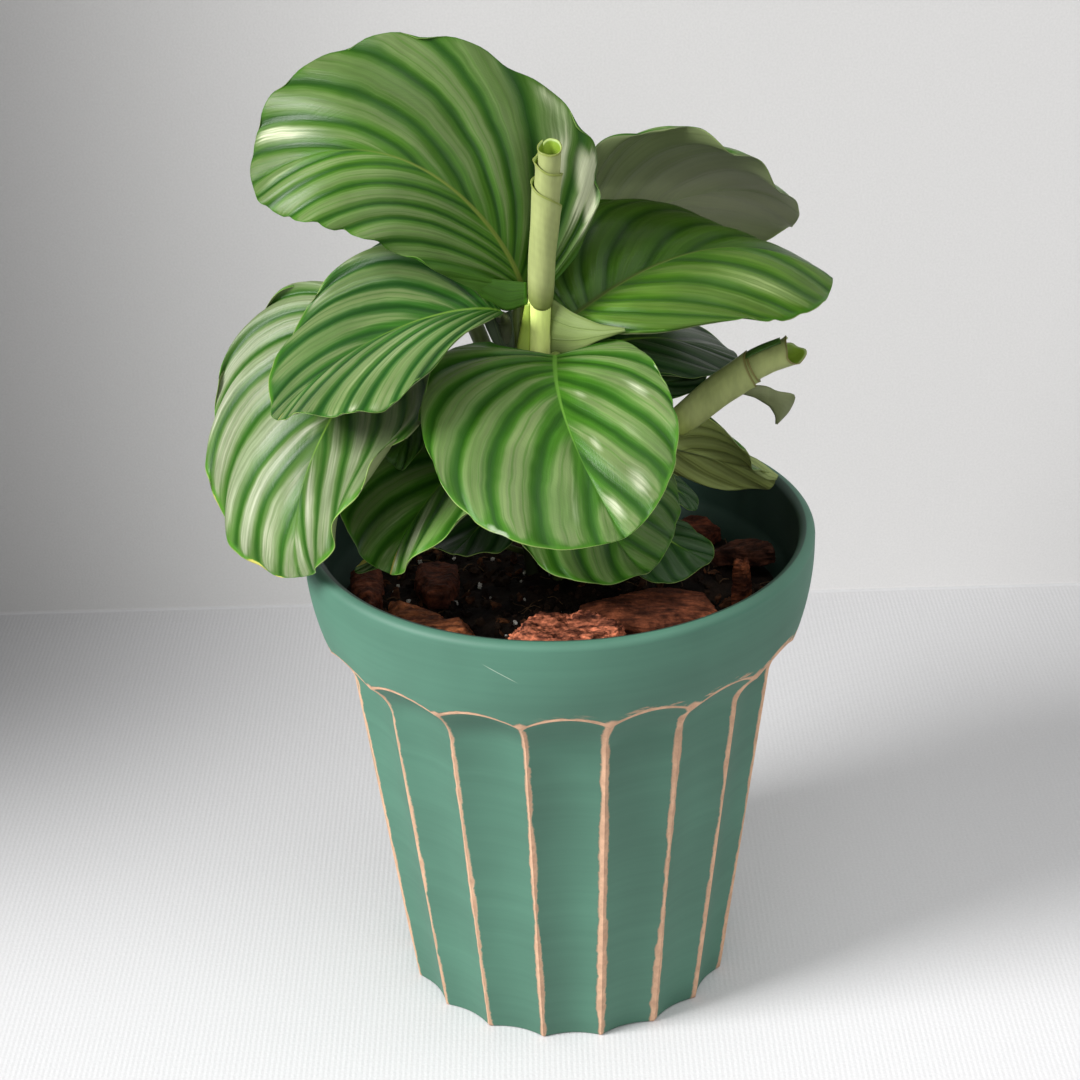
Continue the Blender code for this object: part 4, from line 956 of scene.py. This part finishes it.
SCRAP_ROWS = 24
SCRAPS = (
    ("leaf_top_left_ear", dict(look=dict(bands=(0.0, 0.0), shade=(1.0, 1.0), dark=(0.042, 0.112, 0.01),
     green=(0.05, 0.135, 0.013), edge=(0.07, 0.17, 0.03))), (1, 0), [[(-31.8, -16.4, 308.6),
     (-24.0, -13.8, 306.9), (-16.9, -12.0, 305.2), (-9.6, -10.8, 303.8)], [(-31.6, -16.6, 307.9),
     (-25.3, -15.5, 298.9), (-17.6, -14.0, 293.6), (-9.8, -12.0, 295.7)]], (0, -0.8, 0)),
    # Painted shade: a near-black wing beside leaf_left's stalk, filling the dark gap between the stalks.
    ("leaf_left_wing", dict(look_under=dict(dull=(0.035, 0.055, 0.025), pale=(0.05, 0.07, 0.035))),
     (1, 1), [[(-25.9, -14, 289.5), (-24.5, -14, 285.9), (-22.8, -14, 281.8), (-20.0, -14, 276.5)],
     [(-15.5, -13, 293.8), (-15.0, -13, 287.6), (-14.8, -13, 281.6), (-14.6, -13, 275.6)]], (0, 0.8, 0)),
    ("leaf_right_sheath", dict(look_under=dict(dull=(0.165, 0.225, 0.063), pale=(0.19, 0.25, 0.082),
     vein=(0.14, 0.2, 0.055))), (1, 1), [[(-0.9, -10.5, 297.4), (7.0, -14.5, 292.8), (16.7, -21, 290.2),
     (25.8, -26, 290.4)], [(-1.4, -15, 275.0), (6.3, -19, 278.2), (16.7, -24, 285.6),
     (25.8, -26.5, 290.0)]], (0, -1.2, 0)),
    ("leaf_over_rim_flap", dict(look_under=dict(dull=(0.26, 0.32, 0.11), pale=(0.32, 0.38, 0.15))),
     (1, 1), [[(75.2, 22, 216.2), (79.2, 22, 214.3), (83.6, 22, 210.6), (87.9, 21, 207.0)],
     [(75.7, 19, 212.7), (79.4, 19, 209.1), (83.8, 19, 206.3), (87.1, 20, 206.2)]], (0, -0.8, 0.4)),
)


def build_scrap(name, colours, looks, outline, curl):
    """A part of a leaf's base or margin, with the upper (0) or under (1) look on each face."""
    leaf = {**LEAF_DEFAULTS, **colours, "name": name}
    shape = Shape()
    add_scrap(shape, outline, curl, 0.5, looks[0], steps=10, under=looks[1])
    shape.piece(name, (leaf_upper(leaf), leaf_under(leaf)), "striped_leaf")


# Pot

PAINT = (0.069, 0.186, 0.126)
PAINT_DARK = (0.053, 0.150, 0.101)
CLAY = (0.60, 0.36, 0.23)
SCRATCH_COLOUR = (0.42, 0.50, 0.40)
SCRATCH_SLOPE = 0.55
SCRATCH_HEIGHT = 0.1751
INNER_RINGS = 16


def collar_radius(z):
    drop = np.maximum(0.0, (COLLAR_BULGE_Z - z) / (COLLAR_BULGE_Z - COLLAR_FOOT_Z))
    return POT_RADIUS - (POT_RADIUS - COLLAR_FOOT_RADIUS) * drop ** 2


def flute_radius(z, phase):
    """phase runs from -1 to 1 across one flute, with ridges at its ends."""
    ridge = FOOT_RADIUS + (FLUTE_TOP_RADIUS - FOOT_RADIUS) * z / (COLLAR_FOOT_Z - COVE_HEIGHT)
    half = pi / FLUTES
    chord = ridge * cos(half) / np.cos(half * phase)
    return chord - FLUTE_DEPTH * (1 - phase ** 2)


def pot_profile(phase):
    """Radius and height of one column, from the foot, over the lip and down to the floor inside."""
    arch = COLLAR_FOOT_Z + ARCH_RISE * (1 - phase ** 2)
    cove = arch - COVE_HEIGHT
    foot, edge = flute_radius(cove, phase), collar_radius(arch)
    lip = (POT_RADIUS - MOUTH_RADIUS) / 2
    profile = [(flute_radius(0, phase) - LIP_ROUND * (1 - sin(a)), LIP_ROUND * (1 - cos(a)))
               for a in np.linspace(0, pi / 2, 5)]
    profile += [(flute_radius(z, phase), z) for z in np.linspace(LIP_ROUND, cove, 24)[1:]]
    profile += [(foot + (edge - foot) * k ** 2.2, cove + COVE_HEIGHT * k)
                for k in np.linspace(0, 1, 14)[1:]]
    profile += [(collar_radius(z), z) for z in np.linspace(arch, COLLAR_BULGE_Z, 12)[1:]]
    profile += [(POT_RADIUS - lip + lip * cos(a), POT_HEIGHT - lip * 0.9 + lip * 0.9 * sin(a))
                for a in np.linspace(0, pi, 15)]
    profile += [(MOUTH_RADIUS - (MOUTH_RADIUS - SHOULDER_RADIUS) * k,
                 LIP_FOOT_Z - (LIP_FOOT_Z - SHOULDER_Z) * k) for k in np.linspace(0.1, 1, 7)]
    return profile + [(NECK_RADIUS, NECK_Z), (FLOOR_RADIUS, FLOOR_THICKNESS)]


def build_pot():
    """The pot in one skin. Marks hold the distance from the nearest ridge and above the arch."""
    steps = np.linspace(-1, 1, STEPS_PER_FLUTE, endpoint=False)
    phases = np.tile(FLUTE_CROWD * np.sin(steps * pi / 2) + (1 - FLUTE_CROWD) * steps, FLUTES)
    middles = np.repeat(np.arange(FLUTES), STEPS_PER_FLUTE) * 2 * pi / FLUTES
    angles = middles + phases * pi / FLUTES
    profiles = np.array([pot_profile(phase) for phase in phases]).transpose(1, 0, 2)
    radius, height = profiles[..., 0], profiles[..., 1]
    points = np.stack([radius * np.sin(angles), -radius * np.cos(angles), height], -1)
    shape = Shape()
    ridge = (1 - np.abs(phases)) * radius * pi / FLUTES
    arch = height - (COLLAR_FOOT_Z + ARCH_RISE * (1 - phases ** 2))
    # inside marks the rings within the pot, whose paint is darkened as painted shade.
    inside = np.zeros(radius.shape)
    inside[-INNER_RINGS:] = 1
    grid = shape.add(points, ridge=ridge, arch=arch, inside=inside)
    shape.sheet(grid, closed=True)
    ends = shape.add([(0, 0, 0), (0, 0, FLOOR_THICKNESS)], ridge=9, arch=-99, inside=[0, 1])
    shape.fan(grid[0], ends[0])
    shape.fan(grid[-1], ends[1])
    shape.piece("pot_painted", [pot_paint()], "pot_paint", ("pot",), sharp=38)


def pot_paint():
    """Brushed paint, worn to the clay along the ridges and arches, with one scratch on the collar, and
    darkened inside the pot as painted shade.
    """
    g = Graph("pot_paint", 0.62)
    ridge, arch, inside = g.mark("ridge"), g.mark("arch"), g.mark("inside")
    rough, slow = g.speckle(170, 4, 0.65), g.speckle(22)
    strokes = g.noise(g.place((6, 6, 240)), 1.0, 4, 0.6)
    x, y, z = g.split(g.place())
    heavy = x.rise(-0.07, 0.07, 0.85, 1.35)
    width = heavy * g.noise(g.place((40, 40, 18)), 1.0, 3, 0.6).rise(0.35, 0.65, 0.65, 1.60)
    fray = (rough - 0.5) * 2.6
    off_arch = abs(arch)
    on_ridge = arch.fall(-2.0, -0.2) * (ridge + fray - width).fall(-0.40, 0.45)
    on_arch = (off_arch + fray * 0.6 - width * 0.75).fall(-0.25, 0.25)
    at_corner = ((ridge * 0.9 + (off_arch + fray)) / heavy).fall(2.3, 3.4)
    streaks = g.noise(g.place((90, 90, 700)), 1.0, 3, 0.6).rise(0.48, 0.58)
    rubbed = abs(arch + fray * 0.5 - 1.9).fall(0.3, 1.4) * (streaks * x.rise(-0.02, 0.05))
    worn = on_ridge.most(rubbed).most(on_arch.most(at_corner)) * inside.fall(0.2, 0.8)
    bent = abs(z + x * SCRATCH_SLOPE - SCRATCH_HEIGHT + (slow - 0.5) * 0.002)
    scratch = bent.fall(0.00006, 0.00022) * y.fall(-0.09, -0.08)
    scratch = scratch * x.rise(-0.030, -0.026) * x.fall(-0.020, -0.016)
    paint = g.mix(strokes.rise(0.2, 0.8, 0.2, 0.8), PAINT_DARK, PAINT)
    paint = g.tint(paint, slow.rise(0.25, 0.75, 0.9, 1.1))
    paint = g.mix(scratch * 0.75, paint, SCRATCH_COLOUR)
    # Painted shade: inside the pot the paint is darkened to a third.
    paint = g.tint(paint, inside.rise(0.0, 1.0, 1.0, 0.32))
    clay = g.tint(CLAY, rough.rise(0.3, 0.7, 0.8, 1.15))
    g.bump(strokes * 0.5 + worn * -0.8, 0.00025, 0.8)
    return g.finish(g.mix(worn, paint, clay), worn.rise(0, 1, 0.60, 0.85))


# Soil, with its crumbs, grains and fibres. A soil lump has its height, its width and its seed.

SOIL_COLUMNS = 240
WALL_REACH = 88
CRUMB_REACH = 84
CHIP_REACH = 82
FIBRE_REACH = 86
SOIL_RINGS = 56
SOIL_LUMPS = ((1.7, 13, 1), (1.1, 5.5, 2), (0.6, 2.4, 3))
GRAIN_SEED = 11
CRUMBS = 900
BARK_CRUMBS = 150
HIDDEN_PERLITE = 34
FIBRES = 130


def wall_radius(z):
    return NECK_RADIUS + (SHOULDER_RADIUS - NECK_RADIUS) * (z - NECK_Z) / (SHOULDER_Z - NECK_Z)


def rough_height(x, y, size, seed):
    """Noise from -1 to 1 over the ground plan, with lumps of the given size."""
    return noise.noise(Vector((x / size + seed * 7.3, y / size - seed * 3.1, seed)))


def ground(x, y):
    """Height of the soil with its lumps."""
    lumps = sum(high * rough_height(x, y, size, seed) for high, size, seed in SOIL_LUMPS)
    return float(soil_height(x, y)) + lumps


def build_soil():
    shape = Shape()
    angles = np.linspace(0, 2 * pi, SOIL_COLUMNS, endpoint=False)
    level = soil_height(WALL_REACH * np.cos(angles), WALL_REACH * np.sin(angles))
    edge = wall_radius(level) - 0.15
    points = np.zeros((SOIL_RINGS, SOIL_COLUMNS, 3))
    for i, part in enumerate(np.linspace(0, 1, SOIL_RINGS + 1)[1:]):
        for j, a in enumerate(angles):
            x, y = edge[j] * part * cos(a), edge[j] * part * sin(a)
            flat = float(soil_height(x, y))
            points[i, j] = (x, y, flat + (ground(x, y) - flat) * min(1, (1 - part) * 14) - SOIL_GAP)
    bottom = FLOOR_THICKNESS + 0.3
    below = ((NECK_RADIUS - SOIL_GAP, NECK_Z), (FLOOR_RADIUS - SOIL_GAP, bottom))
    lower = np.array([[(r * cos(a), r * sin(a), z) for a in angles] for r, z in below])
    grid = shape.add(np.concatenate([points, lower]))
    ends = shape.add([(0, 0, ground(0, 0) - SOIL_GAP), (0, 0, bottom)])
    shape.sheet(grid, closed=True)
    shape.fan(grid[0], ends[0])
    shape.fan(grid[-1], ends[1])
    shape.piece("soil_mix", [soil_look("soil_mix", (0.006, 0.004, 0.003), (0.020, 0.012, 0.008))], "soil",
                ("soil",), sharp=60)


def soil_look(name, dark, light):
    g = Graph(name, 0.92, 0.12)
    grain = g.speckle(700, 4, 0.7)
    g.bump(grain, 0.0008)
    colour = g.mix(g.speckle(90, 3).rise(0.35, 0.7), dark, light)
    return g.finish(g.tint(colour, grain.rise(0.25, 0.75, 0.6, 1.5)))


def unit_sphere(splits):
    body = bmesh.new()
    bmesh.ops.create_icosphere(body, subdivisions=splits, radius=1.0)
    points = np.array([v.co[:] for v in body.verts])
    faces = [[v.index for v in f.verts] for f in body.faces]
    body.free()
    return points, faces


def add_lump(shape, points, faces, place, size, rng, roughness):
    """An uneven lump: size gives its three half axes."""
    turn = np.linalg.qr(rng.normal(size=(3, 3)))[0]
    seed = rng.uniform(0, 99)

    def swell(scale, aside):
        return np.array([noise.noise(Vector(p * scale) + Vector((seed, aside, 0))) for p in points])

    bulge = 1 + roughness * swell(1.6, 0) + 0.5 * roughness * swell(4, 9)
    lump = (points * bulge[:, None] * np.array(size)) @ turn
    numbers = shape.add(lump + np.array(place))
    for corners in faces:
        shape.face([numbers[c] for c in corners])


def free_spots(rng, count, reach=CRUMB_REACH):
    """Places on the soil, evenly spread up to reach from its middle."""
    radius, angle = reach * np.sqrt(rng.uniform(0, 1, count)), rng.uniform(0, 2 * pi, count)
    return np.stack([radius * np.cos(angle), radius * np.sin(angle)], -1)


def add_lumps(name, spots, draw, rng, roughness, look, slot, sharp, splits=2):
    """Lumps on the soil. draw gives the half axes of each and how high its middle stands."""
    points, faces = unit_sphere(splits)
    shape = Shape()
    for x, y in spots:
        axes, lift = draw()
        add_lump(shape, points, faces, (x, y, ground(x, y) + lift), axes, rng, roughness)
    shape.piece(name, [look], slot, sharp=sharp)


def build_grains():
    rng = np.random.default_rng(GRAIN_SEED)

    def crumb():
        size = rng.uniform(0.7, 1.0) * 10 ** rng.uniform(-0.1, 0.5)
        return size * rng.uniform(0.55, 1.1, 3), 0.25 * size - 0.4

    def chip():
        size = rng.uniform(1.2, 3.4)
        return (size, size * rng.uniform(0.3, 0.7), size * rng.uniform(0.25, 0.5)), 0.1 * size

    def grain():
        size = rng.uniform(0.4, 1.05)
        return size * rng.uniform(0.7, 1.1, 3), 0.3 * size

    add_lumps("soil_crumbs", free_spots(rng, CRUMBS), crumb, rng, 0.7,
              soil_look("soil_crumbs", (0.008, 0.005, 0.0035), (0.035, 0.019, 0.011)), "soil", 50)
    add_lumps("bark_crumbs", free_spots(rng, BARK_CRUMBS, CHIP_REACH), chip, rng, 0.8,
              bark_look("bark_crumbs", (0.035, 0.014, 0.007), (0.13, 0.05, 0.02)), "bark", 40)
    shown = [on_soil(*pixel) for pixel in PERLITE_PIXELS]
    add_lumps("perlite_grains", [*shown, *free_spots(rng, HIDDEN_PERLITE)], grain, rng, 0.7,
              perlite_look(), "soil", 60, splits=3)

    fibres = Shape()
    for x, y in free_spots(rng, FIBRES):
        turn, length = rng.uniform(0, 2 * pi), rng.uniform(4, 14)
        bend = rng.uniform(-0.5, 0.5)
        spots = []
        for r in np.linspace(-0.5, 0.5, 9) * length:
            way = turn + bend * r / length
            spots.append((x + r * cos(way), y + r * sin(way)))
        spots = [spot for spot in spots if np.hypot(*spot) < FIBRE_REACH]
        if len(spots) > 3:
            lift = np.sin(np.linspace(0, pi, len(spots))) * rng.uniform(0, 1.5) + 0.3
            path = np.array([(a, b, ground(a, b) + up) for (a, b), up in zip(spots, lift)])
            add_tube(fibres, path, rng.uniform(0.12, 0.3), 6, 0)
    look = soil_look("soil_fibres", (0.05, 0.03, 0.015), (0.14, 0.085, 0.045))
    fibres.piece("soil_fibres", [look], "soil")


def perlite_look():
    g = Graph("perlite", 0.8)
    grain = g.speckle(1100, 3)
    g.bump(grain, 0.0004)
    return g.finish(g.mix(grain.rise(0.3, 0.7), (0.40, 0.38, 0.34), (0.66, 0.64, 0.59)))


# Bark chips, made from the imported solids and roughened: their dark and light colours and roughness

BARK_SPLITS = 4
BARK = [
    ("bark_left_wall", (0.075, 0.02, 0.01), (0.19, 0.055, 0.026), 0.6),
    ("bark_front_left", (0.11, 0.031, 0.012), (0.42, 0.135, 0.05), 0.6),
    ("bark_left", (0.05, 0.015, 0.008), (0.14, 0.04, 0.019), 0.6),
    ("bark_chunk", (0.06, 0.015, 0.008), (0.56, 0.175, 0.088), 1.6),
    ("bark_slab", (0.075, 0.022, 0.011), (0.24, 0.07, 0.031), 0.5),
    ("bark_shard", (0.055, 0.014, 0.006), (0.18, 0.05, 0.018), 0.7),
    ("bark_right_wall", (0.03, 0.01, 0.006), (0.095, 0.033, 0.018), 0.6),
    ("bark_right_rear", (0.055, 0.016, 0.009), (0.17, 0.046, 0.023), 0.6),
    ("bark_rear_left", (0.05, 0.016, 0.009), (0.2, 0.06, 0.03), 0.7),
    ("bark_rear", (0.04, 0.014, 0.008), (0.16, 0.05, 0.025), 0.7),
    ("bark_right", (0.05, 0.015, 0.008), (0.18, 0.055, 0.027), 0.6),
]


def bark_look(name, dark, light):
    g = Graph(name, 0.8, 0.15)
    grain = g.noise(g.place((60, 260, 420)), 1.0, 5, 0.65)
    patches, flakes = g.speckle(130, 4, 0.6), g.speckle(420, 3, 0.6)
    cells = g.node("TexVoronoi", {"Vector": g.place((120, 260, 260)), "Scale": 1.0})
    pits = Value(g, cells.outputs["Distance"])
    colour = g.mix(grain.rise(0.35, 0.65), dark, light)
    colour = g.tint(colour, patches.rise(0.3, 0.7, 0.45, 1.45))
    # Painted shade: the colour darkens towards the middle of each pit, where the bump sinks.
    colour = g.tint(colour, pits.rise(0.0, 0.35, 0.35, 1.0))
    g.bump(grain + (flakes * 0.5 + pits * 0.6), 0.0014)
    return g.finish(g.tint(colour, flakes.rise(0.3, 0.7, 0.75, 1.3)))


def build_bark(name, dark, light, rough):
    """One chip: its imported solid, split finely and moved in and out by up to about rough millimetres."""
    mesh = bpy.data.meshes.new(name + "_chip")
    body = bmesh.new()
    body.from_mesh(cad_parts[name].data)
    bmesh.ops.remove_doubles(body, verts=body.verts, dist=0.01 * METRES)
    bmesh.ops.triangulate(body, faces=body.faces)
    for level in range(BARK_SPLITS):
        bmesh.ops.subdivide_edges(body, edges=body.edges[:], cuts=1, use_grid_fill=True, smooth=0.0)
        if level > 1:
            bmesh.ops.smooth_vert(body, verts=body.verts, factor=0.4, use_axis_x=True, use_axis_y=True,
                                  use_axis_z=True)
    body.normal_update()
    moves = []
    for v in body.verts:
        p = v.co / METRES
        stretched = Vector((p.x * 0.09, p.y * 0.26, p.z * 0.4))
        ridges = 1 - 2 * abs(noise.noise(stretched))
        splinters = abs(noise.noise(stretched * 3.3)) * 2 - 0.6
        lumps, grit = noise.noise(p * 0.14), noise.noise(p * 0.9)
        moves.append(rough * (0.7 * lumps + 0.5 * ridges + 0.55 * splinters + 0.25 * grit + 0.1))
    for v, move in zip(body.verts, moves):
        v.co = v.co + v.normal * (move * METRES)
    body.to_mesh(mesh)
    body.free()
    add_mesh(name + "_chip", mesh, [bark_look(name, dark, light)], (name,), sharp=45)


# Photograph's frame

def camera_frame():
    pitch, yaw, roll = (radians(v) for v in (CAMERA_PITCH, CAMERA_YAW, CAMERA_ROLL))
    forward = np.array([sin(yaw) * cos(pitch), cos(yaw) * cos(pitch), -sin(pitch)])
    level = np.array([cos(yaw), -sin(yaw), 0])
    above = np.cross(level, forward)
    right = cos(roll) * level - sin(roll) * above
    return forward, right, sin(roll) * level + cos(roll) * above


def on_soil(px, py):
    """The place on the soil, in millimetres, that a pixel of the 1080 x 1080 photograph shows."""
    forward, right, above = camera_frame()
    scale, middle = PHOTO_SIZE * LENS / SENSOR, PHOTO_SIZE / 2
    ray = forward + right * (px - middle) / scale - above * (py - middle) / scale
    reach = (SOIL_LEVEL * METRES - CAMERA_PLACE[2]) / ray[2]
    place = np.array(CAMERA_PLACE) + ray * reach
    return tuple(place[:2] / METRES)


PERLITE_PIXELS = [(492.8, 560.9), (550.3, 581.3), (457.4, 607.4), (524.9, 608.9), (590, 560), (612, 585),
                  (640, 600), (420, 560), (398, 585), (676, 575), (560, 618), (480, 590)]


def add_camera():
    forward, right, above = camera_frame()
    camera = bpy.data.cameras.new("camera")
    camera.lens, camera.sensor_width = LENS, SENSOR
    made = bpy.data.objects.new("camera", camera)
    turned = Matrix((right, above, -forward)).transposed()
    made.matrix_world = Matrix.Translation(CAMERA_PLACE) @ turned.to_4x4()
    bpy.context.scene.collection.objects.link(made)
    bpy.context.scene.camera = made


# Studio

LIGHTS = (
    ("window_left", (-1.6, -0.75, 1.25), (0.12, -0.12, 0.12), 0.8, 9.0, 60),
    ("window_right", (0.95, 0.0, 0.9), (0.05, 0, 0.25), 0.45, 1.2, 150),
    ("ceiling", (0.3, -0.55, 2.0), (0.25, -0.1, 0), 1.2, 5.0, 120),
    ("room_front", (0.6, -1.7, 0.9), (0.25, 0.2, 0.1), 1.2, 4.0, 120),
)


def paper():
    """Woven white paper, greyed to the left and towards the wall by painted shade. Seen from behind it is
    clear, so that a view from behind the wall shows the plant."""
    g = Graph("paper", 0.85)
    weave = g.noise(g.place((900, 900, 900)))
    x, y, z = g.split(g.place())
    colour = g.mix(z.rise(0.0004, 0.0012), FLOOR_COLOUR, WALL_COLOUR)
    # Painted shade: the floor greys towards the left and towards the wall.
    left = x.rise(-0.36, -0.02, 0.69, 0.0) * y.rise(-0.05, 0.25)
    back = y.rise(-0.10, 0.30, 0.0, 0.26) * z.fall(0.0006, 0.0014)
    colour = g.tint(colour, (1.0 - left) * (1.0 - back))
    threads = (x * (1 / THREAD)).swing(0.5) * (y * (0.6 / THREAD)).swing(0.5).rise(0.0, 0.5, 0.6, 1.0)
    threads = threads * z.fall(0.0004, 0.0012)
    g.bump(threads + weave * 0.5, 0.0004, 0.4)
    look = g.finish(g.tint(colour, weave.rise(0.25, 0.75, 0.97, 1.03)))
    mix = g.node("MixShader", {0: g.node("NewGeometry").outputs["Backfacing"],
                               1: g.shader.outputs["BSDF"], 2: g.node("BsdfTransparent").outputs["BSDF"]})
    output = next(node for node in g.tree.nodes if node.type == "OUTPUT_MATERIAL")
    g.feed(output.inputs["Surface"], mix.outputs[0])
    return look


def add_stage():
    """The floor and the wall behind the pot, in one bent sheet, and the floor beyond the wall."""
    corner = [(WALL_DISTANCE - CORNER_ROUND * (1 - sin(a)), CORNER_ROUND * (1 - cos(a)))
              for a in np.linspace(0, pi / 2, 9)]
    profile = [(-FLOOR_REACH, 0.0), (-0.6, 0.0), (0.0, 0.0), *corner, (WALL_DISTANCE, 1.2),
               (WALL_DISTANCE, FLOOR_REACH)]
    sides = (-STAGE_SIDE, STAGE_SIDE)
    verts = [(x, y, z) for x in sides for y, z in profile]
    count = len(profile)
    faces = [(k, k + count, k + count + 1, k + 1) for k in range(count - 1)]
    behind = len(verts)
    verts += [(x, y, 0.0) for y in (WALL_DISTANCE, FLOOR_REACH) for x in sides]
    faces.append((behind, behind + 1, behind + 3, behind + 2))
    mesh = bpy.data.meshes.new("floor_and_wall")
    mesh.from_pydata(verts, [], faces)
    mesh.shade_smooth()
    mesh.materials.append(paper())
    floor = bpy.data.objects.new("floor_and_wall", mesh)
    bpy.context.scene.collection.objects.link(floor)


def add_lights():
    world = bpy.data.worlds.new("studio")
    world.use_nodes = True
    background = world.node_tree.nodes["Background"]
    background.inputs["Color"].default_value = WORLD_COLOUR
    background.inputs["Strength"].default_value = WORLD_LIGHT
    bpy.context.scene.world = world
    for name, place, aim, size, power, spread in LIGHTS:
        light = bpy.data.lights.new(name, "AREA")
        light.size, light.energy, light.spread = size, power, radians(spread)
        made = bpy.data.objects.new(name, light)
        made.location = place
        made.rotation_euler = (Vector(aim) - Vector(place)).to_track_quat("-Z", "Y").to_euler()
        bpy.context.scene.collection.objects.link(made)


def main():
    bpy.context.scene.view_settings.view_transform = "Standard"
    add_camera()
    add_stage()
    add_lights()
    build_pot()
    build_soil()
    build_grains()
    for chip in BARK:
        build_bark(*chip)
    for leaf in LEAVES:
        build_leaf(leaf)
    for scrap in SCRAPS:
        build_scrap(*scrap)
    skins = {name: roll_skin(name) for name in ROLL_SKINS}
    for roll in ROLLS:
        build_roll(roll, [skins[name] for name in roll["skins"]])


main()
